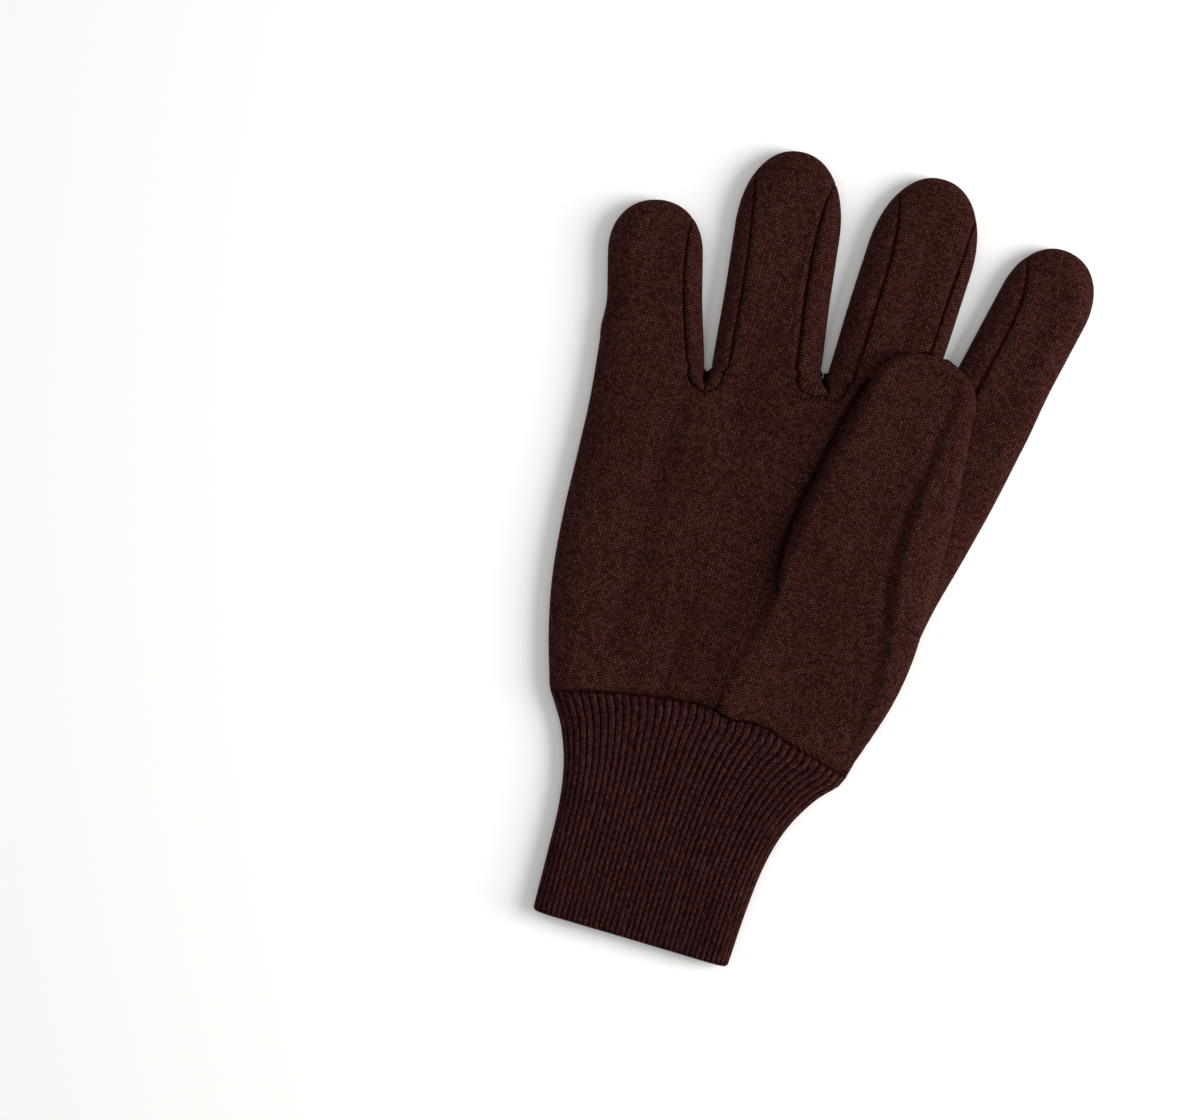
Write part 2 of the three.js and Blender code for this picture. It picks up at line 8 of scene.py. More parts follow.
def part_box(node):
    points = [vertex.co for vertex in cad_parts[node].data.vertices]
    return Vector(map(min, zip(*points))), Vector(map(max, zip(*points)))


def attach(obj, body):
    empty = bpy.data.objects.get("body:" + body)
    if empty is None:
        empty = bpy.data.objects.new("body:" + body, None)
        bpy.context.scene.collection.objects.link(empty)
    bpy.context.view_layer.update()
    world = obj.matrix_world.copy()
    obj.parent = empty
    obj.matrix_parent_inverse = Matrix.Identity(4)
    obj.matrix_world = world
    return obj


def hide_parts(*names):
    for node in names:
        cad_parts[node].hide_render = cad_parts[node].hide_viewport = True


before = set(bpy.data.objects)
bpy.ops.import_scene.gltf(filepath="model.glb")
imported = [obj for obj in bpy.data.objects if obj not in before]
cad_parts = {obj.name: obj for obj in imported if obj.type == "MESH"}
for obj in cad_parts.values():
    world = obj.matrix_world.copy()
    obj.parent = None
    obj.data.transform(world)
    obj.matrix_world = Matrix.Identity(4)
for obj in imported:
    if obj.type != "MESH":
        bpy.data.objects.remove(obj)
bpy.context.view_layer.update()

# A brown cotton jersey work glove with a rib knit wrist, lying on its back with the thumb folded over the
# palm. Every shape is worked out in the glove's own frame, in millimetres: the origin is the middle of the
# cuff's hem, +X points towards the thumb, +Y towards the fingertips and +Z up.

MM_PER_METRE = 1000.0


def table(columns, *rows):
    """The rows of a table, each as a dictionary with the columns' names."""
    return [dict(zip(columns.split(), row)) for row in rows]


# Cloth
CLOTH_WALL = 1.2
CUFF_WALL = 1.5
CUFF_INSIDE_CLEARANCE = 0.3
WELD_DISTANCE = 0.02

# Seams. The thumb's seam on the palm is softer than the others, and the palm climbs towards it. The climb
# sets in between the two heights y of SOFT_SEAM_START and has faded out between those of SOFT_SEAM_END.
SEAM_ROLL = 1.6
SEAM_DEPTH = 0.9
THUMB_BACK_SEAM_DEPTH = 0.5
SEAM_SIDEWAYS = 0.3
SEAM_PUCKER = 0.16
SEAM_PUCKER_REACH = 3.0
SEAM_PUCKER_INSET = (0.5, 4.0)
SEAM_PUCKER_SIZE = {"across": 1.9, "lean": 7.0, "along": 2.4}
SOFT_SEAM_FIRMNESS = 0.3
SOFT_SEAM_WIDTH = (2.0, 3.5)
SOFT_SEAM_RISE = 3.0
SOFT_SEAM_REACH = 7.0
SOFT_SEAM_START = (74.0, 94.0)
SOFT_SEAM_END = (127.0, 112.0)

# Wrist
CUFF_LENGTH = 79.5
CUFF_WIDTH = 66.0
CUFF_THICKNESS = 8.8
WRIST_ARCH = 9.0
RIB_COUNT = 78
RIB_DEPTH = 0.9
RIB_DEPTH_AT_HEM = 0.75
RIB_DEPTH_UNEVENNESS = 0.1
RIB_UNEVENNESS = 0.05
RIB_SHARPNESS = 3.2
RIB_GATHERED = 0.35
RIB_NOISE = {"place": (3.1, 9.0), "depth": (1.7, 5.0)}
CUFF_GATHER = (0.93, 1.0)
CUFF_ROUNDNESS = 0.8
CUFF_LOOSENESS = 0.4
CUFF_WAVES = (16.0, 22.0)
HEM_DEPTH = 0.7
HEM_ROLL = 1.2
HEM_SCALLOP = 0.35
HEM_SCALLOP_REACH = 3.0

# Palm and back of the hand
PALM_LENGTH = 113.5
PALM_WIDTH = 124.0
PALM_THICKNESS = 9.2

# Fingers
FINGER_LENGTH = 74.5
FINGER_WIDTH = 34.6
FINGER_THICKNESS = 9.8
FINGERTIP_LENGTH = 25.0
CROTCH_RADIUS = 1.1
CROTCH_BAND = 7.5
TIP_ROUNDNESS = 2.15
STRIP_END = 0.88
STRIP_END_SHARPNESS = 8
STRIP_FULLNESS = 2.7
FINGER_SETTLED = 0.4

# Thumb
THUMB_LENGTH = 84.0
THUMB_BASE_WIDTH = 50.0
THUMB_TIP_WIDTH = 35.0
THUMB_THICKNESS = 8.0
THUMB_TIP_LENGTH = 15.0
THUMB_LEAN = 3.2
THUMB_CLEARANCE = 0.4
THUMB_INSET = 0.8
THUMB_EDGE_SHARE = 0.1
THUMB_TAPER = 1.65
THUMB_CROTCH = 0.43
THUMB_SEAM = {"wrist": 0.18, "crotch": 0.29}
THUMB_SMOOTHING = 24
THUMB_EDGE_HOLD = 6

# How the cloth rounds off towards its outline
EDGE_HEIGHT = 3.8
TOP_ROUND = 10.0
BOTTOM_ROUND = 5.0
THUMB_ROUND = 5.5
THUMB_LEFT_ROUND = 3.6
THUMB_LEVEL = 0.7
THUMB_SLACK = 0.2
TOP_FULLNESS = 2.3
BOTTOM_FULLNESS = 2.0
LEVEL_FROM = (1.0, 7.0)
BACK_LIFT = 0.45
BACK_LIFT_LEVEL = 0.1
BACK_LIFT_FROM = (2.0, 8.0)

# Outline of the palm: height as a share of the palm's, left and right as shares of PALM_WIDTH.
PALM_OUTLINE = {
    "up": [0.0, 0.16, 0.32, 0.5, 0.66, 0.83, 1.0],
    "left": [-0.391, -0.437, -0.469, -0.487, -0.495, -0.505, -0.524],
    "right": [0.422, 0.455, 0.486, 0.514, 0.55, 0.586, 0.616],
}

# Outline of the cuff: height as a share of its own, half width and shift as shares of CUFF_WIDTH.
CUFF_OUTLINE = {
    "up": [0.0, 0.28, 0.5, 0.68, 0.84, 0.94],
    "half": [0.497, 0.509, 0.527, 0.569, 0.647, 0.727],
    "shift": [-0.006, -0.006, -0.001, 0.008, 0.022, 0.037],
}

# The lines between two back panels: shares across the palm at the wrist and at the knuckles, and the
# crotch's height as a share of PALM_LENGTH.
PANEL_LINES = table(
    "wrist knuckle up",
    (0.0, 0.0, 0.916),
    (0.263, 0.258, 0.916),
    (0.491, 0.516, 1.0),
    (0.719, 0.77, 0.946),
    (1.0, 1.0, 0.946),
)

# Fingers: length as a share of FINGER_LENGTH, width and the strips of the back panel that show on the palm
# side as shares of FINGER_WIDTH, the lean towards the thumb in degrees, and the tip as a share of
# FINGERTIP_LENGTH.
FINGERS = table(
    "name length width lean tip left_strip right_strip",
    ("little", 0.673, 0.892, -15.6, 0.7, 0.0, 0.185),
    ("ring", 0.97, 0.987, -7.8, 1.06, 0.159, 0.251),
    ("middle", 1.0, 1.005, 1.4, 1.12, 0.251, 0.145),
    ("index", 0.909, 0.864, 11.6, 0.79, 0.251, 0.0),
)
MIDDLE_PANEL = 2

# Soft folds of the palm side: half width, rise and the points in plan that they run through.
PALM_FOLDS = table(
    "half rise points",
    (2.6, -0.6, [(-13.5, 79), (-13.5, 98), (-12, 118)]),
    (3.0, 0.35, [(-6, 79), (-5, 98), (-3, 118)]),
    (6.0, -0.5, [(-1, 130), (1, 145), (4, 160)]),
    (3.6, -1.0, [(-33.5, 92), (-33, 125), (-34, 145), (-35.5, 176)]),
    (7.0, 0.55, [(-45, 95), (-46, 130), (-44, 175)]),
    (4.5, -0.55, [(-14, 150), (-17, 190), (-17, 235)]),
    (3.2, -0.55, [(28, 205), (29, 232), (29, 252)]),
    (2.4, -0.45, [(-12, 205), (-11, 230), (-12, 250)]),
    (3.4, -0.45, [(-50, 190), (-53, 205), (-56, 222)]),
    (4.0, -0.5, [(64, 195), (68, 215), (72, 240)]),
)

# How far the seam between cuff and palm leaves its even arch on the palm side: x, and the shift in y.
SEAM_WAVE = [(-48, -1.0), (-23, -1.3), (-9, -0.6), (0, 0.0), (4, -0.4), (10, -1.9), (17, -0.5), (23, -0.1),
             (30, -1.3), (36, -1.6), (45, -1.5), (52, -0.8)]
SEAM_WAVE_REACH = 9.0
SEAM_WAVE_BLUR = (-1.2, 0.0, 1.2)
SEAM_WAVE_NOISE = {"shift": 0.25, "length": 1.7}
SEAM_WAVE_FADE = 3.0

# Soft waves and dimples of loose cloth: how high they are and how long across and along the hand.
WRINKLES = table("rise across along", (0.38, 13.0, 38.0), (0.16, 6.0, 13.0), (0.07, 2.6, 3.4))
FOLD_WANDER = {"share": 0.35, "across": 14.0, "along": 22.0}

# The ripples and the hollow of the gathered cloth below a crotch.
CROTCH_RIPPLE = {"rise": 0.3, "length": 2.3, "wobble": 0.8, "from": (1.2, 2.8), "to": (5.5, 10.5)}
CROTCH_HOLLOW = {"depth": 0.8, "reach": 3.2}
CROTCH_SQUASH = 0.92
CROTCH_BEARINGS = (1.4, 2.3)

# The short slit that stays open below a crotch: its half width, its length and how far its end leans.
# Places along it are shares of its length, from the crotch down. It sinks and parts only the cloth above the
# heights in SLIT_SINKS_FROM and SLIT_PARTS_FROM.
# The slit's hollow is also darkened with painted shade.
SLIT_DEPTH = 4.5
SLIT_WIDTH = 0.8
SLIT_START = (-1.0, -0.2)
SLIT_END = (1.25, 0.8)
SLIT_SINKS_FROM = (EDGE_HEIGHT + 0.1, EDGE_HEIGHT + 1.5)
SLIT_PARTS_FROM = (EDGE_HEIGHT - 3.0, EDGE_HEIGHT + 0.5)
SLIT_LEANS_FROM = (0.0, 1.6)
SLIT_LEANS_TO = (2.0, 3.6)
SLIT_REACH = 5.0
SLIT_GAP = {"middle": 0.35, "half": 0.6, "reach": 1.6}
SLITS = table("half length lean", (0.6, 4.2, 0.3), (0.4, 4.6, 3.4), (0.3, 3.0, 0.0))

# The crease where the thumb's left side lies on the palm, as points in the glove's frame. The cloth sinks
# along it and is darkened with painted shade.
THUMB_CREASE = [(12.4, 121), (11.6, 127), (11.0, 134), (11.2, 142), (12.3, 151), (14.0, 160), (16.0, 172),
                (18.4, 183), (20.3, 190), (22.0, 195)]
THUMB_CREASE_REACH = 1.1
THUMB_CREASE_DEPTH = 0.6
THUMB_CREASE_PAINTED_SHADE = 0.9

# The crest of the long fold down the thumb: its height y, its x there and how far it rises.
THUMB_FOLD = {
    "up": [88, 105, 115, 125, 136, 150, 165, 175, 187, 197],
    "x": [53.0, 53.4, 52.2, 50.8, 49.0, 48.4, 49.4, 50.2, 51.4, 51.8],
    "rise": [0.7, 1.3, 1.8, 2.3, 2.6, 2.6, 2.3, 1.9, 1.3, 0.7],
}
THUMB_FOLD_CLIMB = 4.0
THUMB_FOLD_FALL = 0.12
THUMB_FOLD_BLUR = (-0.6, 0.0, 0.6)
THUMB_FOLD_END = 0.1
THUMB_FOLD_CREASE = {"beside": 2.6, "half": 1.7, "share": 0.8}

# The noise has a number for each use, so that no two forms are alike.
SEEDS = {"palm": 3.0, "thumb": 9.0, "back": 20.0, "seam": 31.0, "rib_place": 5.0, "rib_depth": 8.0,
         "cuff": 12.0}
PUCKER_SEEDS = 17


def mix(a, b, share):
    return a + (b - a) * share


def smooth(low, high, value):
    share = np.clip((value - low) / (high - low), 0.0, 1.0)
    return share * share * (3.0 - 2.0 * share)


def read_column(columns, key, up):
    """The value of a column at a height, on a smooth curve through its numbers."""
    ups = np.array(columns["up"])
    values = np.array(columns[key])
    at = np.clip(up, ups[0], ups[-1])
    i = np.clip(np.searchsorted(ups, at), 1, len(ups) - 1)
    last = len(ups) - 1
    u0, u1, u2, u3 = (ups[np.clip(i + n, 0, last)] for n in (-2, -1, 0, 1))
    v0, v1, v2, v3 = (values[np.clip(i + n, 0, last)] for n in (-2, -1, 0, 1))
    span = u2 - u1
    share = (at - u1) / span
    slope1 = (v2 - v0) / (u2 - u0) * span
    slope2 = (v3 - v1) / (u3 - u1) * span
    s2 = share * share
    s3 = s2 * share
    return ((2 * s3 - 3 * s2 + 1) * v1 + (s3 - 2 * s2 + share) * slope1
            + (3 * s2 - 2 * s3) * v2 + (s3 - s2) * slope2)


def round_shares(steps):
    """Shares from 0 to 1 that lie closer together towards both ends."""
    return (1.0 - np.cos(np.arange(steps + 1) / steps * np.pi)) / 2.0


def round_off(distance, reach, fullness=2.0):
    """0 at the outline, 1 where the cloth lies level, on a rounded shoulder between."""
    past = 1.0 - np.clip(distance / reach, 0.0, 1.0)
    return (1.0 - past ** fullness) ** (1.0 / fullness)


def value_noise(x, y, seed):
    """Smooth noise from -1 to 1 on a unit lattice."""
    def lattice(i, j):
        h = np.sin(i * 127.1 + j * 311.7 + seed * 74.7) * 43758.5453
        return (h - np.floor(h)) * 2.0 - 1.0
    i, j = np.floor(x), np.floor(y)
    fx, fy = x - i, y - j
    fx, fy = fx * fx * (3 - 2 * fx), fy * fy * (3 - 2 * fy)
    low = mix(lattice(i, j), lattice(i + 1, j), fx)
    high = mix(lattice(i, j + 1), lattice(i + 1, j + 1), fx)
    return mix(low, high, fy)


def distance_to_line(points, x, y):
    """The distance of plan points to a short open line."""
    nearest = np.full(x.shape, 1e9)
    for (ax, ay), (bx, by) in zip(points[:-1], points[1:]):
        dx, dy = bx - ax, by - ay
        share = np.clip(((x - ax) * dx + (y - ay) * dy) / (dx * dx + dy * dy), 0.0, 1.0)
        nearest = np.minimum(nearest, np.hypot(ax + share * dx - x, ay + share * dy - y))
    return nearest


def kd_tree(places):
    tree = kdtree.KDTree(len(places))
    for i, place in enumerate(places):
        tree.insert(place, i)
    tree.balance()
    return tree


def distances_to_cloud(cloud, points):
    """The distance of each point to the nearest of a cloud of points."""
    tree = kd_tree(cloud.tolist())
    return np.array([tree.find(place)[2] for place in points.tolist()])


# Plan of the hand

def wrist_y(across):
    return CUFF_LENGTH - WRIST_ARCH * (2.0 * across - 1.0) ** 2


def palm_point(panel, across, up):
    """A plan point of the palm, at a share across one finger's panel and a share of its height."""
    start, end = PANEL_LINES[panel], PANEL_LINES[panel + 1]
    at_wrist = mix(start["wrist"], end["wrist"], across)
    at_knuckle = mix(start["knuckle"], end["knuckle"], across)
    left = PALM_WIDTH * read_column(PALM_OUTLINE, "left", up)
    right = PALM_WIDTH * read_column(PALM_OUTLINE, "right", up)
    knuckle_y = CUFF_LENGTH + PALM_LENGTH * mix(start["up"], end["up"], across)
    x = mix(left, right, mix(at_wrist, at_knuckle, up))
    y = mix(wrist_y(at_wrist), knuckle_y, up)
    return np.stack(np.broadcast_arrays(x, y), -1)


def lean_axes(degrees):
    lean = math.radians(degrees)
    return np.array([math.sin(lean), math.cos(lean)]), np.array([math.cos(lean), -math.sin(lean)])


def tip_share(along, tip_start):
    """How wide a round fingertip is at a share of the finger's length, as a share of its full width."""
    past = np.clip((along - tip_start) / (1.0 - tip_start), 0.0, 1.0)
    return (1.0 - past ** TIP_ROUNDNESS) ** (1.0 / TIP_ROUNDNESS)


def rows_along(length, tip_length, row_share):
    """Rows from a finger's root to its tip as shares of its length. They lie closer together at the tip."""
    tip_start = 1.0 - tip_length / length
    straight_rows = round(tip_start * length / PALM_STEP)
    tip_rows = round(tip_length * row_share / PALM_STEP)
    return np.concatenate([
        tip_start * np.linspace(0.0, 1.0, straight_rows + 1),
        tip_start + (1.0 - tip_start) * np.sin(np.linspace(0.0, np.pi / 2.0, tip_rows + 1))[1:],
    ])


def finger_edge(panel, side, along):
    """Plan points of a finger's left (-1) or right (1) edge, at shares of its length."""
    finger = FINGERS[panel]
    length, width = finger["length"] * FINGER_LENGTH, finger["width"] * FINGER_WIDTH
    axis, sideways = lean_axes(finger["lean"])
    along = np.asarray(along, float)
    root = palm_point(panel, 0.0 if side < 0 else 1.0, 1.0)
    centre = palm_point(panel, 0.5, 1.0) + axis * (length * along)[..., None]
    tip_start = 1.0 - finger["tip"] * FINGERTIP_LENGTH / length
    half = width / 2.0 * tip_share(along, tip_start)
    outer = (panel == 0 and side < 0) or (panel == len(FINGERS) - 1 and side > 0)
    opening = 0.0 * along if outer else CROTCH_RADIUS * round_off(length * along, CROTCH_RADIUS)
    from_root = root + axis * (length * along)[..., None] - sideways * (side * opening)[..., None]
    settled = centre + sideways * (side * half)[..., None]
    return mix(from_root, settled, smooth(0.0, FINGER_SETTLED, along)[..., None])


OUTLINE_STEPS = 500
LAY_STEPS = 400
ON_OUTLINE = 0.05


def hand_outline():
    """The outline in plan, as many short straight pieces in one row from the wrist round to the wrist."""
    ups = np.linspace(0.0, 1.0, OUTLINE_STEPS)
    arcs = np.sin(np.linspace(0.0, np.pi / 2.0, OUTLINE_STEPS))
    parts = [palm_point(0, 0.0, ups)]
    for panel in range(len(FINGERS)):
        parts += [finger_edge(panel, -1, arcs), finger_edge(panel, 1, arcs)[::-1]]
    parts.append(palm_point(len(FINGERS) - 1, 1.0, ups)[::-1])
    return np.concatenate(parts)


OUTLINE = hand_outline()
OUTLINE_TREE = kd_tree([(x, y, 0.0) for x, y in OUTLINE.tolist()])


def to_outline(plan):
    """From plan points to the nearest place on the outline."""
    flat = plan.reshape(-1, 2)
    nearest = np.array([OUTLINE_TREE.find((x, y, 0.0))[1] for x, y in flat.tolist()])
    way = np.full(flat.shape, 1e9)
    for first in (nearest - 1, nearest):
        start = OUTLINE[np.clip(first, 0, len(OUTLINE) - 2)]
        step = OUTLINE[np.clip(first, 0, len(OUTLINE) - 2) + 1] - start
        from_start = flat - start
        share = np.clip((from_start * step).sum(1) / np.maximum((step * step).sum(1), 1e-12), 0.0, 1.0)
        found = step * share[:, None] - from_start
        closer = np.hypot(*found.T) < np.hypot(*way.T)
        way[closer] = found[closer]
    return way.reshape(plan.shape)


def outline_distance(plan):
    return np.linalg.norm(to_outline(plan), axis=-1)


def lay_out(plan, rise, reach, fullness):
    """Plan points spread flat, as if the cloth of the rounded side lay open beside the outline."""
    steps = np.linspace(0.0, 1.0, LAY_STEPS) ** 2 * reach
    heights = rise * round_off(steps, reach, fullness)
    slack = np.hypot(np.diff(steps), np.diff(heights)) - np.diff(steps)
    beyond = np.concatenate([np.cumsum(slack[::-1])[::-1], [0.0]])
    way = to_outline(plan)
    away = np.linalg.norm(way, axis=-1)
    return plan + way * (np.interp(away, steps, beyond) / np.maximum(away, ON_OUTLINE))[..., None]


def seam_warp(panel, share, up):
    """Draws the middle panel's columns over to the thumb's seam."""
    if panel != MIDDLE_PANEL:
        return share + 0.0 * up
    plain = THUMB_SEAM_SHARE
    below = mix(THUMB_SEAM["wrist"], THUMB_SEAM["crotch"], np.clip(up / THUMB_CROTCH, 0, 1) ** 2)
    seam = mix(below, plain, smooth(THUMB_CROTCH, 1.0, up))
    left = share / plain * seam
    right = 1.0 - (1.0 - share) / (1.0 - plain) * (1.0 - seam)
    return np.where(share < plain, left, right)


def thumb_seam_points():
    """The line of the seam between palm and thumb, from the wrist to the thumb's crotch."""
    ups = np.linspace(0.0, THUMB_CROTCH, THUMB_SEAM_POINTS)
    return palm_point(MIDDLE_PANEL, seam_warp(MIDDLE_PANEL, THUMB_SEAM_SHARE, ups), ups)


# Mesh steps: the front's columns are a multiple of 4, so that one of them follows the thumb's seam.
FRONT_STEPS = 40
STRIP_STEPS = 8
BACK_STEPS = 32
THUMB_SEAM_COLUMN = FRONT_STEPS // 4
THUMB_SEAM_SHARE = round_shares(FRONT_STEPS)[THUMB_SEAM_COLUMN]
PALM_STEP = 0.95
BAND_ROWS = 14
THUMB_FLAP_ROWS = 5
THUMB_COLUMNS = 56
THUMB_SIDE_STEPS = 8
THUMB_SEAM_POINTS = 12
TIP_ROW_SHARE = 1.35
THUMB_TIP_ROW_SHARE = 1.6
CUFF_ROWS = 84
CUFF_SECTION_STEPS = 160
RIB_COLUMNS = 6
CUFF_COLUMNS = RIB_COLUMNS * RIB_COUNT


def panel_rows(panel):
    """Rows as shares up the palm and along the finger, and how many lie below the thumb's crotch."""
    finger = FINGERS[panel]
    length = finger["length"] * FINGER_LENGTH
    band_start = 1.0 - CROTCH_BAND / PALM_LENGTH
    low_rows = max(2, round(THUMB_CROTCH * PALM_LENGTH / PALM_STEP))
    high_rows = max(2, round((band_start - THUMB_CROTCH) * PALM_LENGTH / PALM_STEP))
    ups = np.concatenate([
        np.linspace(0.0, THUMB_CROTCH, low_rows + 1),
        np.linspace(THUMB_CROTCH, band_start, high_rows + 1)[1:],
        1.0 - np.cos(np.linspace(0.0, np.pi / 2.0, BAND_ROWS))[1:] * CROTCH_BAND / PALM_LENGTH,
    ])
    alongs = rows_along(length, finger["tip"] * FINGERTIP_LENGTH, TIP_ROW_SHARE)[1:]
    return ups, alongs, low_rows


def panel_plan(panel, palm_side):
    """Plan points of one panel's palm side or back, with their shares across and how far up each row is."""
    finger = FINGERS[panel]
    ups, alongs, low_rows = panel_rows(panel)
    left_full, right_full = finger["left_strip"] * FINGER_WIDTH, finger["right_strip"] * FINGER_WIDTH
    below = (1.0 - ups) * PALM_LENGTH / CROTCH_BAND
    strip_low = round_off(1.0 - below, 1.0, STRIP_FULLNESS)
    strip_free = np.clip(1.0 - (alongs / STRIP_END) ** STRIP_END_SHARPNESS, 0.0, 1.0)
    strips = np.concatenate([strip_low, strip_free])
    left = np.concatenate([palm_point(panel, 0.0, ups), finger_edge(panel, -1, alongs)])
    right = np.concatenate([palm_point(panel, 1.0, ups), finger_edge(panel, 1, alongs)])
    width = np.maximum(np.hypot(*(right - left).T), 1e-6)
    if palm_side:
        start, end = left_full * strips / width, 1.0 - right_full * strips / width
        strip_shares = 2.0 * round_shares(2 * STRIP_STEPS)[:STRIP_STEPS]
        front = round_shares(FRONT_STEPS)
        shares = np.concatenate([
            start[:, None] * strip_shares,
            start[:, None] + (end - start)[:, None] * front,
            1.0 - (1.0 - end)[:, None] * strip_shares[::-1],
        ], 1)
    else:
        shares = np.repeat(round_shares(BACK_STEPS)[None, :], len(left), 0)
    n = len(ups)
    low = palm_point(panel, seam_warp(panel, shares[:n], ups[:, None]), ups[:, None])
    free = mix(left[n:, None, :], right[n:, None, :], shares[n:, :, None])
    plan = np.concatenate([low, free])
    past = np.concatenate([ups, 1.0 + alongs])
    return plan, shares, past, low_rows


def on_outline(panel, shares, past):
    """Which grid points lie on the outline, where the palm side and the back meet."""
    free = (past >= 1.0 - 1e-9)[:, None]
    left_end = (shares < 1e-6) & (free | (panel == 0))
    right_end = (shares > 1.0 - 1e-6) & (free | (panel == len(FINGERS) - 1))
    closed = (past >= 2.0 - 1e-9)[:, None]
    return left_end | right_end | closed


def fold_rise(x, y):
    total = np.zeros(x.shape)
    for fold in PALM_FOLDS:
        away = distance_to_line(fold["points"], x, y) / fold["half"]
        noise = value_noise(x / FOLD_WANDER["across"], y / FOLD_WANDER["along"], fold["half"] * 10.0)
        wander = 1.0 + FOLD_WANDER["share"] * noise
        total += fold["rise"] * wander * np.exp(-away * away)
    return total


def crotch_points():
    return [palm_point(panel, 1.0, 1.0) for panel in range(len(FINGERS) - 1)]


def crotch_puckers(x, y):
    """Round ripples of the gathered cloth below each crotch."""
    total = np.zeros(x.shape)
    for n, (cx, cy) in enumerate(crotch_points()):
        dx, dy = x - cx, (y - cy) * CROTCH_SQUASH
        away = np.hypot(dx, dy)
        bearing = np.arctan2(dx, -dy)
        wobble = CROTCH_RIPPLE["wobble"] * np.sin(bearing * 3.0 + n)
        ripple = np.sin(away * 2.0 * np.pi / CROTCH_RIPPLE["length"] + wobble + n)
        reach = smooth(*CROTCH_RIPPLE["from"], away) * (1.0 - smooth(*CROTCH_RIPPLE["to"], away))
        below = 1.0 - smooth(*CROTCH_BEARINGS, np.abs(bearing))
        total += CROTCH_RIPPLE["rise"] * ripple * reach * below
        total -= CROTCH_HOLLOW["depth"] * np.exp(-(away / CROTCH_HOLLOW["reach"]) ** 2) * below
    return total


def wrinkles(x, y, seed):
    """The unevenness of cloth that lies loosely, in long soft waves and small dimples."""
    total = np.zeros(x.shape)
    for n, wave in enumerate(WRINKLES):
        total = total + wave["rise"] * value_noise(x / wave["across"], y / wave["along"], seed + n)
    return total


def seam_wave(points):
    """Moves the palm side's points near the cuff, so that the seam wanders."""
    x, y, z = np.moveaxis(points, -1, 0)
    xs, shifts = zip(*SEAM_WAVE)
    wave = sum(np.interp(x + step, xs, shifts) for step in SEAM_WAVE_BLUR) / len(SEAM_WAVE_BLUR)
    noise = value_noise(x / SEAM_WAVE_NOISE["length"], 0.0 * x, SEEDS["seam"])
    wave = wave + SEAM_WAVE_NOISE["shift"] * noise
    half = (WRIST_RIGHT_X - WRIST_LEFT_X) / 2.0
    from_seam = y - (CUFF_LENGTH - WRIST_ARCH * np.clip((x - WRIST_MIDDLE_X) / half, -1.0, 1.0) ** 2)
    near = np.exp(-(from_seam / SEAM_WAVE_REACH) ** 2)
    fade = near * smooth(EDGE_HEIGHT, EDGE_HEIGHT + SEAM_WAVE_FADE, z)
    return np.stack([x, y + wave * fade, z], -1)


def slit_depths(points):
    """How deep the palm side sinks in along the slit below each crotch, from 0 to 1."""
    x, y, z = np.moveaxis(points, -1, 0)
    total = np.zeros(x.shape)
    for (cx, cy), slit in zip(crotch_points(), SLITS):
        below = (cy - y) / slit["length"]
        along = smooth(*SLIT_START, below) * smooth(*SLIT_END, below)
        total += np.exp(-((x - cx) / SLIT_WIDTH) ** 2) * along
    return total * smooth(*SLIT_SINKS_FROM, z)


def open_slits(points):
    """Parts the cloth a little below each crotch, on the palm side."""
    x, y, z = np.moveaxis(points, -1, 0)
    upper = smooth(*SLIT_PARTS_FROM, z)
    moved = x.copy()
    for (cx, cy), slit in zip(crotch_points(), SLITS):
        below = (cy - y) / slit["length"]
        near = np.exp(-((x - cx) / SLIT_REACH) ** 2)
        lean = slit["lean"] * smooth(*SLIT_LEANS_FROM, below) * (1.0 - smooth(*SLIT_LEANS_TO, below)) * near
        gap = slit["half"] * np.exp(-((below - SLIT_GAP["middle"]) / SLIT_GAP["half"]) ** 2)
        moved += upper * (lean + np.sign(x - cx) * gap * np.exp(-np.abs(x - cx) / SLIT_GAP["reach"]))
    return np.stack([moved, y, z], -1)


def seam_rise(x, y):
    """The palm climbs towards the thumb's seam."""
    away = distance_to_line(thumb_seam_points().tolist(), x, y)
    climb = SOFT_SEAM_RISE * np.exp(-away / SOFT_SEAM_REACH)
    return climb * smooth(*SOFT_SEAM_START, y) * smooth(*SOFT_SEAM_END, y)


def palm_side_z(plan, thickness):
    x, y = np.moveaxis(plan, -1, 0)
    away = outline_distance(plan)
    level = smooth(*LEVEL_FROM, away)
    rise = fold_rise(x, y) + seam_rise(x, y) + crotch_puckers(x, y) + wrinkles(x, y, SEEDS["palm"])
    shoulder = round_off(away, TOP_ROUND, TOP_FULLNESS)
    return EDGE_HEIGHT + (thickness - EDGE_HEIGHT) * shoulder + rise * level


def back_side_z(plan, seed):
    x, y = np.moveaxis(plan, -1, 0)
    away = outline_distance(plan)
    lift = BACK_LIFT * np.clip(wrinkles(x, y, seed) + BACK_LIFT_LEVEL, 0.0, 1.0)
    return EDGE_HEIGHT * (1.0 - round_off(away, BOTTOM_ROUND)) + lift * smooth(*BACK_LIFT_FROM, away)


# Meshes

CUFF_LOW, CUFF_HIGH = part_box("cuff")
WRIST_LEFT_X = PALM_WIDTH * PALM_OUTLINE["left"][0]
WRIST_RIGHT_X = PALM_WIDTH * PALM_OUTLINE["right"][0]
WRIST_MIDDLE_X = (WRIST_LEFT_X + WRIST_RIGHT_X) / 2.0
CUFF_MIDDLE_X = (CUFF_LOW[0] + CUFF_HIGH[0]) / 2.0 * MM_PER_METRE
SHIFT = np.array([CUFF_MIDDLE_X - WRIST_MIDDLE_X, CUFF_LOW[1] * MM_PER_METRE, 0.0])


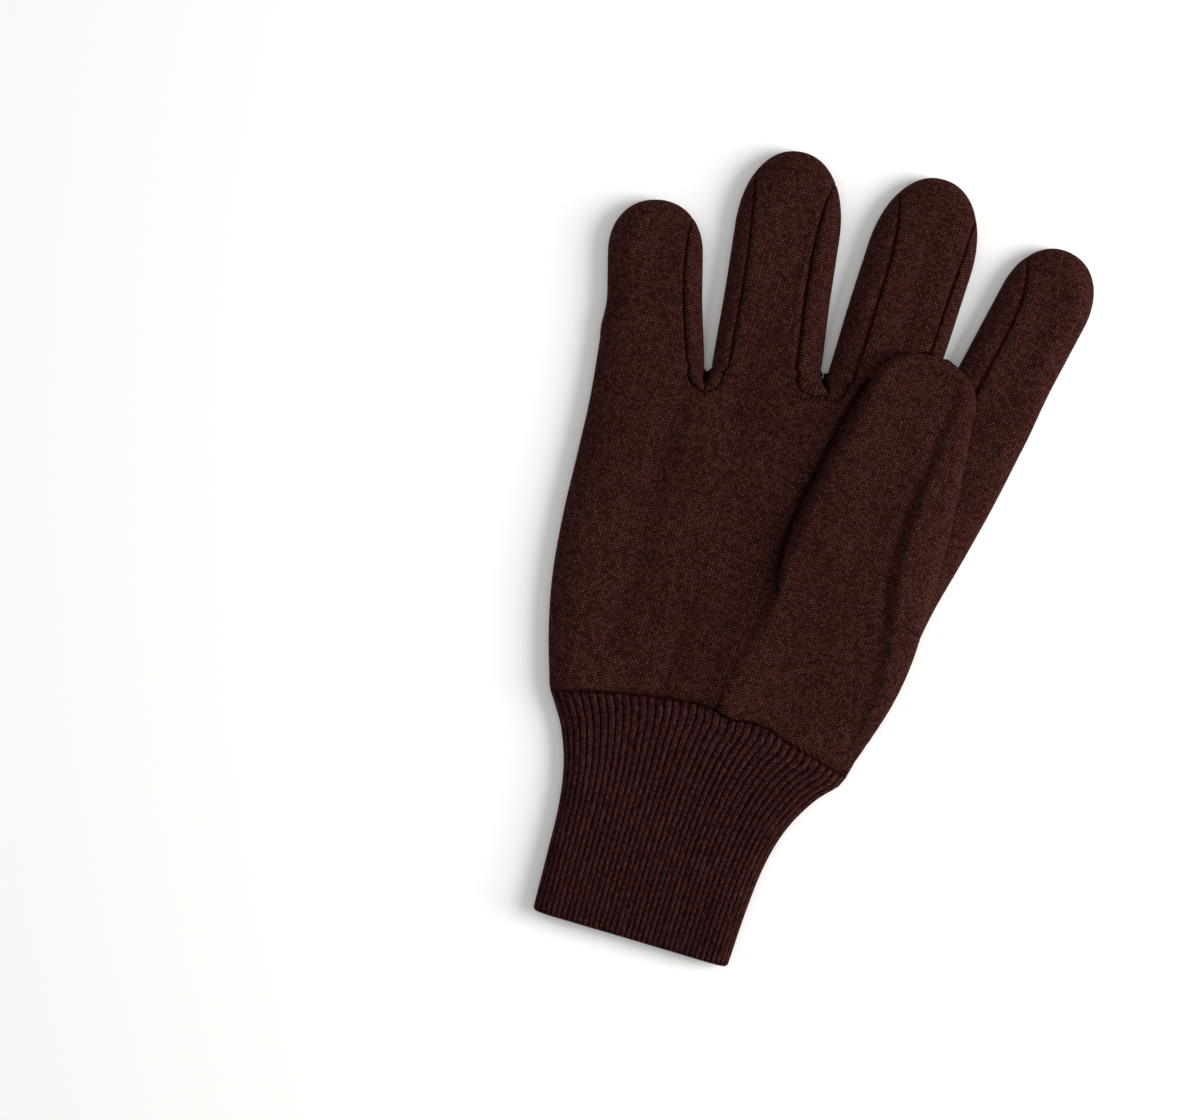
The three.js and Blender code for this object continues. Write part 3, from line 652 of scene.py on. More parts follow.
class Sheet:
    """Grids of cloth that are welded into one piece. Each grid brings its points and its weave."""

    def __init__(self, name):
        self.name = name
        self.points = []
        self.weaves = []
        self.faces = []
        self.count = 0

    def add(self, points, weave, keep=None, flip=False):
        rows, columns = points.shape[:2]
        index = np.arange(rows * columns).reshape(rows, columns) + self.count
        quads = np.stack([index[:-1, :-1], index[:-1, 1:], index[1:, 1:], index[1:, :-1]], -1)
        if flip:
            quads = quads[..., ::-1]
        quads = quads[keep] if keep is not None else quads.reshape(-1, 4)
        self.points.append(points.reshape(-1, 3))
        self.weaves.append(weave.reshape(-1, 2))
        self.faces.append(quads.reshape(-1, 4))
        self.count += rows * columns

    def weld(self):
        """Shared points become one, and faces that have shrunk to a line are left out."""
        points, weaves = np.concatenate(self.points), np.concatenate(self.weaves)
        faces = np.concatenate(self.faces)
        used = np.unique(faces)
        keys = np.round(points[used] / WELD_DISTANCE).astype(np.int64)
        _, first, inverse = np.unique(keys, axis=0, return_index=True, return_inverse=True)
        number = np.zeros(len(points), np.int64)
        number[used] = inverse.reshape(-1)
        self.points = points[used][first]
        self.weaves = weaves[used][first]
        polygons = []
        for face in number[faces].tolist():
            corners = [c for i, c in enumerate(face) if c != face[i - 1]]
            if len(set(corners)) >= 3 and len(set(corners)) == len(corners):
                polygons.append(corners)
        self.polygons = polygons

    def borders(self):
        """The open edges' corner numbers."""
        seen = {}
        for face in self.polygons:
            for i, corner in enumerate(face):
                edge = (min(corner, face[i - 1]), max(corner, face[i - 1]))
                seen[edge] = seen.get(edge, 0) + 1
        return sorted({corner for edge, times in seen.items() if times == 1 for corner in edge})


def point_normals(points, polygons):
    normals = np.zeros(points.shape)
    corners = np.array([face if len(face) == 4 else face + face[-1:] for face in polygons])
    a, b, c, d = (points[corners[:, n]] for n in range(4))
    across = np.cross(c - a, d - b)
    for n in range(4):
        np.add.at(normals, corners[:, n], across)
    return normals / np.maximum(np.linalg.norm(normals, axis=1), 1e-9)[:, None]


def add_object(name, data):
    made = bpy.data.objects.new(name, data)
    bpy.context.scene.collection.objects.link(made)
    return made


def make_piece(name, points, faces, weave):
    """A smooth object out of points in the glove's frame. weave holds its stitches' places and the share of
    painted shade.
    """
    mesh = bpy.data.meshes.new(name)
    mesh.from_pydata(((points + SHIFT) / MM_PER_METRE).tolist(), [], faces)
    attribute = mesh.attributes.new("weave", "FLOAT_VECTOR", "POINT")
    attribute.data.foreach_set("vector", weave.astype(np.float32).ravel())
    mesh.shade_smooth()
    return add_object(name, mesh)


def sew(sheet, wall, soft_line=None, depth=SEAM_DEPTH, slits=True):
    """Makes the piece: its borders roll inwards as at a seam, and the cloth gets its thickness."""
    sheet.weld()
    normals = point_normals(sheet.points, sheet.polygons)
    rim = sheet.borders()
    away = distances_to_cloud(sheet.points[rim], sheet.points)
    groove = 1.0 - round_off(away, SEAM_ROLL)
    x, y = sheet.points[:, 0], sheet.points[:, 1]
    if soft_line is not None:
        beside = distance_to_line(soft_line, x, y)
        groove = groove * mix(SOFT_SEAM_FIRMNESS, 1.0, smooth(*SOFT_SEAM_WIDTH, beside))
        crease = np.exp(-(distance_to_line(THUMB_CREASE, x, y) / THUMB_CREASE_REACH) ** 2)
    size = SEAM_PUCKER_SIZE
    pucker = value_noise(x / size["across"] + y / size["lean"], y / size["along"], len(rim) % PUCKER_SEEDS)
    tuck = SEAM_PUCKER * pucker * np.exp(-away / SEAM_PUCKER_REACH) * (1.0 - groove)
    tuck = tuck * smooth(*SEAM_PUCKER_INSET, outline_distance(sheet.points[:, :2]))
    inward = normals * np.array([SEAM_SIDEWAYS, SEAM_SIDEWAYS, 1.0])
    points = sheet.points + normals * tuck[:, None] - inward * (depth * groove)[:, None]
    points = seam_wave(points)
    if soft_line is not None:
        points[:, 2] -= THUMB_CREASE_DEPTH * crease
        # Painted shade along the thumb's crease.
        groove = np.maximum(groove, THUMB_CREASE_PAINTED_SHADE * crease)
    if slits:
        hollow = slit_depths(points)
        points[:, 2] -= SLIT_DEPTH * hollow
        # Painted shade in the slits' hollow.
        groove = np.maximum(groove, hollow)
        points = open_slits(points)
    points[:, 2] = np.maximum(points[:, 2], 0.0)
    # The weave's third part is the share of painted shade: rolled seams, the thumb's crease and the slits
    # are darkened in colour.
    weave = np.concatenate([sheet.weaves, groove[:, None]], 1)
    piece = make_piece(sheet.name, points, sheet.polygons, weave)
    thicken = piece.modifiers.new("cloth", "SOLIDIFY")
    thicken.thickness = wall / MM_PER_METRE
    thicken.offset = -1.0
    thicken.use_even_offset = False
    return piece


def grid_points(plan, z):
    return np.concatenate([plan, z[..., None]], -1)


BACK_WEAVE_LEAN = 0.6
STRIP_WEAVE_TURN = 0.8
STRIP_WEAVE_SHIFT = 40.0


def finger_weave(panel, plan):
    """Weave of a back panel: wales lean as its finger does, though less."""
    axis, sideways = lean_axes(FINGERS[panel]["lean"] * BACK_WEAVE_LEAN)
    return np.stack([plan @ sideways, plan @ axis], -1)


def strip_weave(panel, plan):
    """Weave of the strips beside a finger: wales follow the outline round each crotch."""
    axis, sideways = lean_axes(FINGERS[panel]["lean"])
    laid = lay_out(plan, PALM_THICKNESS - EDGE_HEIGHT, TOP_ROUND, TOP_FULLNESS)
    depth = outline_distance(plan) - np.linalg.norm(laid - plan, axis=-1)
    middle = palm_point(panel, 0.5, 1.0)
    side = (plan - middle) @ sideways
    left, right = palm_point(panel, 0.0, 1.0), palm_point(panel, 1.0, 1.0)
    from_root = np.where(side[..., None] < 0.0, plan - left, plan - right)
    along, across = from_root @ axis, np.abs(from_root @ sideways)
    strip = np.where(side < 0.0, FINGERS[panel]["left_strip"], FINGERS[panel]["right_strip"]) * FINGER_WIDTH
    turned = -STRIP_WEAVE_TURN * strip * np.arctan2(np.maximum(-along, 0.0), across + 1e-6)
    return np.stack([depth + STRIP_WEAVE_SHIFT * panel, np.where(along > 0.0, along, turned)], -1)


def hand_sheets():
    palm = Sheet("palm_cloth")
    backs = []
    seam_line, outer_line = None, None
    for panel, finger in enumerate(FINGERS):
        back = Sheet("back_" + finger["name"] + "_cloth")
        plan, shares, past, low_rows = panel_plan(panel, True)
        grow = smooth(0.0, FINGER_SETTLED, past - 1.0)[:, None]
        thickness = mix(PALM_THICKNESS, FINGER_THICKNESS, grow)
        z = palm_side_z(plan, thickness)
        z = np.where(on_outline(panel, shares, past), EDGE_HEIGHT, z)
        points = grid_points(plan, z)
        row, column = np.indices((len(plan) - 1, plan.shape[1] - 1))
        front = (column >= STRIP_STEPS) & (column < STRIP_STEPS + FRONT_STEPS)
        seam_column = STRIP_STEPS + THUMB_SEAM_COLUMN
        past_seam = (panel > MIDDLE_PANEL) | ((panel == MIDDLE_PANEL) & (column >= seam_column))
        under_thumb = (row < low_rows - THUMB_FLAP_ROWS) & past_seam
        laid = lay_out(plan, PALM_THICKNESS - EDGE_HEIGHT, TOP_ROUND, TOP_FULLNESS)
        palm.add(points, laid, keep=front & ~under_thumb)
        back.add(points, strip_weave(panel, plan), keep=~front)
        if panel == MIDDLE_PANEL:
            seam_line = points[:low_rows + 1, seam_column]
        if panel == len(FINGERS) - 1:
            outer_line = points[:low_rows + 1, -1]
        plan, shares, past, low_rows = panel_plan(panel, False)
        z = back_side_z(plan, SEEDS["back"] + panel)
        z = np.where(on_outline(panel, shares, past), EDGE_HEIGHT, z)
        laid = lay_out(plan, EDGE_HEIGHT, BOTTOM_ROUND, BOTTOM_FULLNESS)
        back.add(grid_points(plan, z), finger_weave(panel, laid), flip=True)
        backs.append(back)
    return palm, backs, seam_line, outer_line


# Thumb

THUMB_UNDER = max(PALM_THICKNESS, FINGER_THICKNESS) + THUMB_CLEARANCE
THUMB_TOP = THUMB_UNDER + THUMB_THICKNESS
THUMB_EDGE_Z = THUMB_UNDER + THUMB_THICKNESS * THUMB_EDGE_SHARE


def thumb_edges(along, seam_end, outer_end):
    """Plan points of the thumb's left and right edge, at shares of its length."""
    axis, sideways = lean_axes(THUMB_LEAN)
    along = np.asarray(along, float)
    root_x = outer_end[0] - THUMB_INSET - THUMB_BASE_WIDTH / 2.0
    root = np.array([root_x, (seam_end[1] + outer_end[1]) / 2.0])
    centre = root + axis * (THUMB_LENGTH * along)[..., None]
    tip_start = 1.0 - THUMB_TIP_LENGTH / THUMB_LENGTH
    taper = np.minimum(1.0, along / tip_start) ** THUMB_TAPER
    width = mix(THUMB_BASE_WIDTH, THUMB_TIP_WIDTH, taper)
    half = 0.5 * width * tip_share(along, tip_start)
    skew = (outer_end[1] - seam_end[1]) / 2.0 * (1.0 - smooth(0.0, FINGER_SETTLED, along))
    across = sideways * half[..., None]
    shift = np.stack([np.zeros(skew.shape), skew], -1)
    return centre - across - shift, centre + across + shift


def palm_across(across, up):
    """Plan points at shares across the whole palm."""
    result = np.zeros(np.broadcast(across, up).shape + (2,))
    across, up = np.broadcast_arrays(across, up)
    for panel in range(len(FINGERS)):
        start, end = PANEL_LINES[panel]["wrist"], PANEL_LINES[panel + 1]["wrist"]
        inside = (across >= start) & (across <= end)
        points = palm_point(panel, (across - start) / (end - start), up)
        result[inside] = points[inside]
    return result


def thumb_fold(x, y):
    """The long fold down the thumb, which climbs to its crest from the left and falls off to the right."""
    crest, rise = read_column(THUMB_FOLD, "x", y), read_column(THUMB_FOLD, "rise", y)
    total = np.zeros(x.shape)
    for step in THUMB_FOLD_BLUR:
        past = x - crest + step
        climb = np.exp(np.minimum(past, 0.0) / THUMB_FOLD_CLIMB)
        total += rise * (climb - THUMB_FOLD_FALL * np.maximum(past, 0.0)) / len(THUMB_FOLD_BLUR)
    from_crease = (x - crest + THUMB_FOLD_CREASE["beside"]) / THUMB_FOLD_CREASE["half"]
    return total - THUMB_FOLD_CREASE["share"] * rise * np.exp(-from_crease ** 2)


def row_widths(plan):
    return np.hypot(*(plan[:, -1] - plan[:, 0]).T)[:, None]


def thumb_arch(plan):
    """How far each point of the thumb's upper cloth has risen from its sides, from 0 to 1."""
    shares = round_shares(plan.shape[1] - 1)
    width = row_widths(plan)
    half = width / 2.0 + 1e-6
    left = round_off(width * shares, np.minimum(THUMB_LEFT_ROUND, half), TOP_FULLNESS)
    return left * round_off(width * (1.0 - shares), np.minimum(THUMB_ROUND, half), TOP_FULLNESS)


def thumb_z(plan, base_z, rise):
    """Height of the thumb's upper cloth over rows of plan points, without its long fold."""
    shares = round_shares(plan.shape[1] - 1)
    width = row_widths(plan)
    inward = width * np.minimum(shares, 1.0 - shares)
    loose = wrinkles(*np.moveaxis(plan, -1, 0), SEEDS["thumb"]) - THUMB_SLACK
    return base_z + rise * THUMB_LEVEL * thumb_arch(plan) + loose * smooth(*LEVEL_FROM, inward)


def row_lengths(points):
    """How far each point lies along its row."""
    steps = np.linalg.norm(np.diff(points, axis=1), axis=-1)
    return np.concatenate([np.zeros((len(points), 1)), np.cumsum(steps, 1)], 1)


def space_evenly(points):
    """Moves the points along their rows, so that every row is divided as the last one is."""
    lengths = row_lengths(points)
    shares = lengths[-1] / lengths[-1, -1]
    rows = []
    for row, length in zip(points, lengths):
        rows.append(np.stack([np.interp(shares * length[-1], length, row[:, n]) for n in range(3)], -1))
    return np.array(rows)


def thumb_base(seam_line, outer_line, swell):
    """The thumb's base over the palm, from the wrist to the thumb's crotch, without its sides."""
    ups = np.linspace(0.0, THUMB_CROTCH, len(swell))
    shares = round_shares(THUMB_COLUMNS)
    left_root, right_root = thumb_edges(0.0, seam_line[-1], outer_line[-1])
    start, end = PANEL_LINES[MIDDLE_PANEL]["wrist"], PANEL_LINES[MIDDLE_PANEL + 1]["wrist"]
    seam_across = mix(start, end, seam_warp(MIDDLE_PANEL, THUMB_SEAM_SHARE, ups))[:, None]
    on_palm = palm_across(mix(seam_across, 1.0, shares), ups[:, None])
    on_thumb = mix(left_root, right_root, shares[:, None])
    x = mix(on_palm[..., 0], on_thumb[None, :, 0], swell)
    chord_y = mix(seam_line[:, 1][:, None], outer_line[:, 1][:, None], shares)
    y = mix(on_palm[..., 1], chord_y, swell)
    plan = np.stack([x, y], -1)
    seam_z = mix(seam_line[:, 2][:, None], outer_line[:, 2][:, None], shares)
    base_z = mix(seam_z, THUMB_EDGE_Z, swell)
    middle_z = (seam_line[:, 2] + outer_line[:, 2])[:, None] / 2.0
    rise = mix(PALM_THICKNESS - middle_z, THUMB_TOP - THUMB_EDGE_Z, swell)
    return grid_points(plan, thumb_z(plan, base_z, rise))


def thumb_free_part(seam_line, outer_line):
    """The thumb past its crotch: the upper cloth, the lower cloth and how far the upper one has risen."""
    shares = round_shares(THUMB_COLUMNS)
    alongs = rows_along(THUMB_LENGTH, THUMB_TIP_LENGTH, THUMB_TIP_ROW_SHARE)
    left, right = thumb_edges(alongs, seam_line[-1], outer_line[-1])
    plan = mix(left[:, None, :], right[:, None, :], shares[None, :, None])
    puff = round_off(THUMB_LENGTH * (1.0 - alongs), THUMB_ROUND, TOP_FULLNESS)[:, None]
    upper_z = thumb_z(plan, THUMB_EDGE_Z, (THUMB_TOP - THUMB_EDGE_Z) * puff)
    arch = thumb_arch(plan) * smooth(0.0, THUMB_FOLD_END, 1.0 - alongs)[:, None]
    upper = grid_points(plan, upper_z + thumb_fold(*np.moveaxis(plan, -1, 0)) * arch)
    width = np.hypot(*(right - left).T)[:, None]
    inward = width * np.minimum(shares, 1.0 - shares)
    sag = round_off(inward, np.minimum(THUMB_ROUND, width / 2.0 + 1e-6)) * puff
    lower = grid_points(plan, mix(THUMB_EDGE_Z, THUMB_UNDER, sag))
    edge = np.zeros(plan.shape[:2], bool)
    edge[:, 0] = edge[:, -1] = edge[-1, :] = True
    for cloth in (upper, lower):
        cloth[..., 2] = np.where(edge, THUMB_EDGE_Z, cloth[..., 2])
    return upper, lower, arch


def thumb_low_part(seam_line, outer_line, crotch_arch):
    """The thumb's base with its sides, which run down to the seam and to the palm's outer edge."""
    swell = smooth(0.0, 1.0, np.arange(len(seam_line)) / (len(seam_line) - 1))[:, None]
    base = thumb_base(seam_line, outer_line, swell)
    side_steps = np.linspace(0.0, 1.0, THUMB_SIDE_STEPS + 1)[None, :, None]
    left_side = mix(seam_line[:, None, :], base[:, None, 0, :], side_steps)
    right_side = mix(base[:, None, -1, :], outer_line[:, None, :], side_steps)
    points = np.concatenate([left_side[:, :-1], base, right_side[:, 1:]], 1)
    keep_edges = swell[:, 0] ** THUMB_EDGE_HOLD
    for _ in range(THUMB_SMOOTHING):
        smoothed = (points[:, :-2] + points[:, 2:]) / 2.0
        amount = 0.5 * (1.0 - keep_edges)[:, None, None]
        points[:, 1:-1] = mix(points[:, 1:-1], smoothed, amount)
    points = space_evenly(points)
    lengths = row_lengths(points)
    arch = smooth(0.0, THUMB_LEFT_ROUND, lengths) * smooth(1.0, THUMB_ROUND, lengths[:, -1:] - lengths)
    crotch_arch = np.pad(crotch_arch, ((0, 0), (THUMB_SIDE_STEPS, THUMB_SIDE_STEPS)))
    arch = mix(arch, crotch_arch, keep_edges[:, None])
    points[..., 2] += thumb_fold(points[..., 0], points[..., 1]) * arch
    return points


def thumb_weave(points):
    """Weave of the thumb: wales run along it, spread evenly over each row's length."""
    axis, sideways = lean_axes(THUMB_LEAN)
    lengths = row_lengths(points)
    middle = points.shape[1] // 2
    across = lengths - lengths[:, middle:middle + 1] + (points[:, middle, :2] @ sideways)[:, None]
    return np.stack([across, points[..., :2] @ axis], -1)


def thumb_sheets(seam_line, outer_line):
    upper, lower, arch = thumb_free_part(seam_line, outer_line)
    low_part = thumb_low_part(seam_line, outer_line, arch[:1])
    front = Sheet("thumb_front_cloth")
    front.add(low_part, thumb_weave(low_part))
    joined = np.concatenate([low_part[-1:, THUMB_SIDE_STEPS:-THUMB_SIDE_STEPS], upper[1:]])
    front.add(joined, thumb_weave(joined))
    back = Sheet("thumb_back_cloth")
    back.add(lower[1:], thumb_weave(lower[1:]), flip=True)
    return front, back


# Cuff

def cuff_sections(ups, inset):
    """Closed sections of the cuff, evenly divided, from the hem to the wrist seam."""
    table_end = CUFF_OUTLINE["up"][-1]
    shares = round_shares(CUFF_SECTION_STEPS)
    rings = []
    for up in ups:
        shaped = min(1.0, up / table_end)
        half = CUFF_WIDTH * read_column(CUFF_OUTLINE, "half", up)
        shift = CUFF_WIDTH * read_column(CUFF_OUTLINE, "shift", up)
        top = max(0.0, (up - table_end) / (1.0 - table_end))
        outer_left = mix(shift - half, WRIST_LEFT_X, top)
        outer_right = mix(shift + half, WRIST_RIGHT_X, top)
        left, right = outer_left + inset, outer_right - inset
        thickness = mix(CUFF_THICKNESS, PALM_THICKNESS, shaped ** 2)
        reach = mix(thickness * CUFF_ROUNDNESS, TOP_ROUND, shaped ** 2)
        x = mix(left, right, shares)
        inward = (right - left) * np.minimum(shares, 1.0 - shares)
        upper = EDGE_HEIGHT + (thickness - EDGE_HEIGHT - inset) * round_off(inward, reach)
        lower = EDGE_HEIGHT - (EDGE_HEIGHT - inset) * round_off(inward, BOTTOM_ROUND)
        y = wrist_y((x - outer_left) / (outer_right - outer_left)) * up
        top_half = np.stack([x, y, upper], -1)
        low_half = np.stack([x, y, lower], -1)[::-1][1:]
        ring = np.concatenate([top_half, low_half])
        length = np.concatenate([[0.0], np.cumsum(np.linalg.norm(np.diff(ring, axis=0), axis=1))])
        at = np.arange(CUFF_COLUMNS) / CUFF_COLUMNS * length[-1]
        rings.append(np.stack([np.interp(at, length, ring[:, n]) for n in range(3)], -1))
    return np.array(rings)


def outward(rings):
    """Normals of stacked sections, in the plane across the cuff."""
    along = np.roll(rings, -1, 1) - np.roll(rings, 1, 1)
    normals = np.stack([-along[..., 2], 0.0 * along[..., 0], along[..., 0]], -1)
    return normals / np.linalg.norm(normals, axis=-1)[..., None]


def cuff_relief(rings, ups, phase):
    """How deep each point lies in a groove between two ribs, from 0 to 1, and how far it moves outwards."""
    up = ups[:, None]
    rib = np.floor(phase)
    place_noise, depth_noise = (value_noise(rib * by_rib, up * by_height, SEEDS["rib_" + name])
                                for name, (by_rib, by_height) in RIB_NOISE.items())
    uneven = RIB_UNEVENNESS * place_noise
    across = 2.0 * np.abs(phase + uneven - np.floor(phase + uneven) - 0.5)
    groove = across ** RIB_SHARPNESS
    depth = RIB_DEPTH * mix(RIB_DEPTH_AT_HEM, 1.0, up) * (1.0 + RIB_DEPTH_UNEVENNESS * depth_noise)
    gather = smooth(*CUFF_GATHER, ups)[:, None]
    loose_noise = value_noise(*np.moveaxis(rings[..., :2] / CUFF_WAVES, -1, 0), SEEDS["cuff"])
    loose = CUFF_LOOSENESS * loose_noise - CUFF_LOOSENESS / 2.0
    upper_side = smooth(EDGE_HEIGHT, CUFF_THICKNESS, rings[..., 2])
    rise = -depth * groove * (1.0 - RIB_GATHERED * gather) + loose * upper_side
    return groove, rise


def make_cuff():
    ups = np.linspace(0.0, 1.0, CUFF_ROWS + 1)
    from_hem, from_seam = ups * CUFF_LENGTH, (1.0 - ups) * CUFF_LENGTH
    rings = cuff_sections(ups, 0.0)
    normals = outward(rings)
    phase = 0.5 + np.arange(CUFF_COLUMNS)[None, :] / RIB_COLUMNS + 0.0 * ups[:, None]
    groove, rise = cuff_relief(rings, ups, phase)
    hem_round = HEM_DEPTH * (1.0 - round_off(from_hem, HEM_ROLL))[:, None]
    seam_round = SEAM_DEPTH * (1.0 - round_off(from_seam, SEAM_ROLL))[:, None]
    inward = normals * np.array([SEAM_SIDEWAYS, SEAM_SIDEWAYS, 1.0])
    outer = rings + normals * (rise - hem_round)[..., None] - inward * seam_round[..., None]
    outer[..., 1] += HEM_SCALLOP * groove * (1.0 - smooth(0.0, HEM_SCALLOP_REACH, from_hem))[:, None]
    outer = seam_wave(outer)
    outer[..., 2] = np.maximum(outer[..., 2], 0.0)
    inner = cuff_sections(ups, CUFF_WALL + CUFF_INSIDE_CLEARANCE)
    shell = np.concatenate([outer, inner[::-1]])
    rows = len(shell)
    index = np.arange(rows * CUFF_COLUMNS).reshape(rows, CUFF_COLUMNS)
    following = np.roll(index, -1, 0)
    quads = np.stack([index, np.roll(index, -1, 1), np.roll(following, -1, 1), following], -1)
    along = np.concatenate([rings[..., 1], inner[::-1][..., 1]])
    sideways = np.concatenate([phase, phase])
    # Painted shade: the rib grooves and the wrist seam are darkened in colour, and the inside gets none.
    shade = np.concatenate([np.clip(groove + seam_round, 0.0, 1.0), 0.0 * phase])
    weave = np.stack([sideways, along, shade], -1)
    return make_piece("cuff_rib_knit", shell.reshape(-1, 3), quads.reshape(-1, 4).tolist(), weave)


# Materials

class Nodes:
    """Short names for building a material out of nodes. Each of them returns one output of its node."""

    def __init__(self, material):
        material.use_nodes = True
        self.tree = material.node_tree
        self.tree.nodes.clear()

    def make(self, kind, inputs, output=0, **settings):
        """Adds a node. inputs holds values or other nodes' outputs, in order or under the inputs' names."""
        made = self.tree.nodes.new(kind)
        for key, value in settings.items():
            setattr(made, key, value)
        for key, value in inputs.items() if isinstance(inputs, dict) else enumerate(inputs):
            if isinstance(value, bpy.types.NodeSocket):
                self.tree.links.new(value, made.inputs[key])
            else:
                made.inputs[key].default_value = value
        return made.outputs[output] if made.outputs else None

    def math(self, operation, *values):
        return self.make("ShaderNodeMath", values, operation=operation)

    def remap(self, *values):
        """Maps a value from one range to another: the value, from low, from high, to low, to high."""
        return self.make("ShaderNodeMapRange", values)

    def vector(self, *values):
        return self.make("ShaderNodeCombineXYZ", values)

    def noise(self, vector, name):
        inputs = {"Vector": vector, **dict(zip(("Scale", "Detail", "Roughness"), YARN_NOISE[name]))}
        return self.make("ShaderNodeTexNoise", inputs, "Fac")

    def mix_colour(self, share, a, b, blend="MIX"):
        inputs = {"Factor": share, "A": a, "B": b}
        return self.make("ShaderNodeMix", inputs, "Result", data_type="RGBA", blend_type=blend)

    def surface(self, inputs):
        """A plain shader with the given inputs, which the material shows."""
        self.make("ShaderNodeOutputMaterial", {"Surface": self.make("ShaderNodeBsdfPrincipled", inputs)})


# The two knits. base is the yarn's colour. A wale and a course, the stitch's width and height, are in
# millimetres, but the rib knit's wale is a share of a rib. pits says which shades, from and to the last two
# numbers, the heights from the first to the second number get: painted shade darkens the pits between
# stitches and lightens the yarn's tops. The groove's shade is painted shade too, and it darkens seams,
# creases, slits and the grooves between ribs.
JERSEY = {
    "base": (0.0225, 0.0049, 0.0043), "wale_width": 1.0, "course_height": 0.9, "stagger": 0.42,
    "bump_depth": 0.24, "pits": (0.42, 0.9, 0.0, 2.0), "painted_groove_shade": 0.25,
}
RIB_KNIT = {
    "base": (0.0215, 0.0056, 0.0055), "wale_width": 0.5, "course_height": 0.85, "stagger": 0.5,
    "bump_depth": 0.16, "pits": (0.1, 0.95, 0.3, 1.6), "painted_groove_shade": 0.2,
}

# Stitches
WALE_BEND = 2.5
STITCH_LEAN = 1.1
YARN_ROUNDNESS = 1.7
PIT_BETWEEN = 0.85
PIT_MIDDLE = 0.32
WALE_DIP = 0.15

# Yarn. A noise is given as its scale, detail and roughness, and a range is the part of a noise that counts.
# The yarn is marled from two hues, given as shares of the base colour. The powers are those of the shade in
# red, green and blue.
YARN_NOISE = {
    "drift": (0.07, 2.0, 0.5), "fibre": (2.2, 2.0, 0.65), "strand": (1.0, 3.0, 0.6),
    "hue": (0.75, 2.0, 0.7), "broad": (0.03, 3.0, 0.5), "fuzz": (3.3, 4.0, 0.75),
}
STRAND_STRETCH = (0.7, 0.28)
NOISE_RANGE = (0.3, 0.7)
FIBRE_RANGE = (0.33, 0.67)
HUE_RANGE = (0.35, 0.65)
TONE_RANGE = (0.15, 0.85)
STITCH_TONE = 0.4
FIBRE_TONE = 0.6
TONE_SHADES = (0.3, 1.7)
STRAND_SHADES = (0.85, 1.15)
BROAD_SHADES = (0.9, 1.1)
WARM_HUE = (1.09, 1.01, 0.88)
COOL_HUE = (0.92, 0.99, 1.17)
SHADE_POWERS = (1.0, 1.55, 1.45)

# Surface
FUZZ = 0.4
BUMP_STRENGTH = 0.9
ROUGHNESS = (0.82, 1.0)
SHEEN = {"Specular IOR Level": 0.035, "Sheen Weight": 0.14, "Sheen Roughness": 0.35,
         "Sheen Tint": (0.4, 0.12, 0.07, 1.0)}


def stitches(n, across, along, place, wale_width, course_height, stagger):
    """Height of the knit, from the pits up to the yarn, and one random tone for each stitch."""
    drift = n.noise(place, "drift")
    bend = n.math("MULTIPLY", n.math("SUBTRACT", drift, 0.5), WALE_BEND)
    wale = n.math("DIVIDE", n.math("ADD", across, bend), wale_width)
    column = n.math("FLOOR", wale)
    off_middle = n.math("ABSOLUTE", n.math("SUBTRACT", n.math("FRACT", wale), 0.5))
    lean = n.math("ADD", n.math("MULTIPLY", off_middle, STITCH_LEAN), n.math("MULTIPLY", column, stagger))
    row = n.math("ADD", n.math("DIVIDE", along, course_height), lean)
    yarn = n.math("SINE", n.math("MULTIPLY", n.math("FRACT", row), math.pi))
    between = n.math("MULTIPLY", off_middle, 2.0)
    gap = n.math("SUBTRACT", 1.0, n.math("POWER", n.math("MAXIMUM", yarn, 0.0001), YARN_ROUNDNESS))
    pit_share = n.math("ADD", n.math("MULTIPLY", between, PIT_BETWEEN), PIT_MIDDLE)
    pit = n.math("MULTIPLY", gap, pit_share)
    height = n.math("SUBTRACT", 1.0, n.math("MAXIMUM", pit, n.math("MULTIPLY", between, WALE_DIP)))
    stitch = n.vector(column, n.math("FLOOR", row), 3.0)
    return height, n.make("ShaderNodeTexWhiteNoise", {"Vector": stitch}, "Value", noise_dimensions="3D")


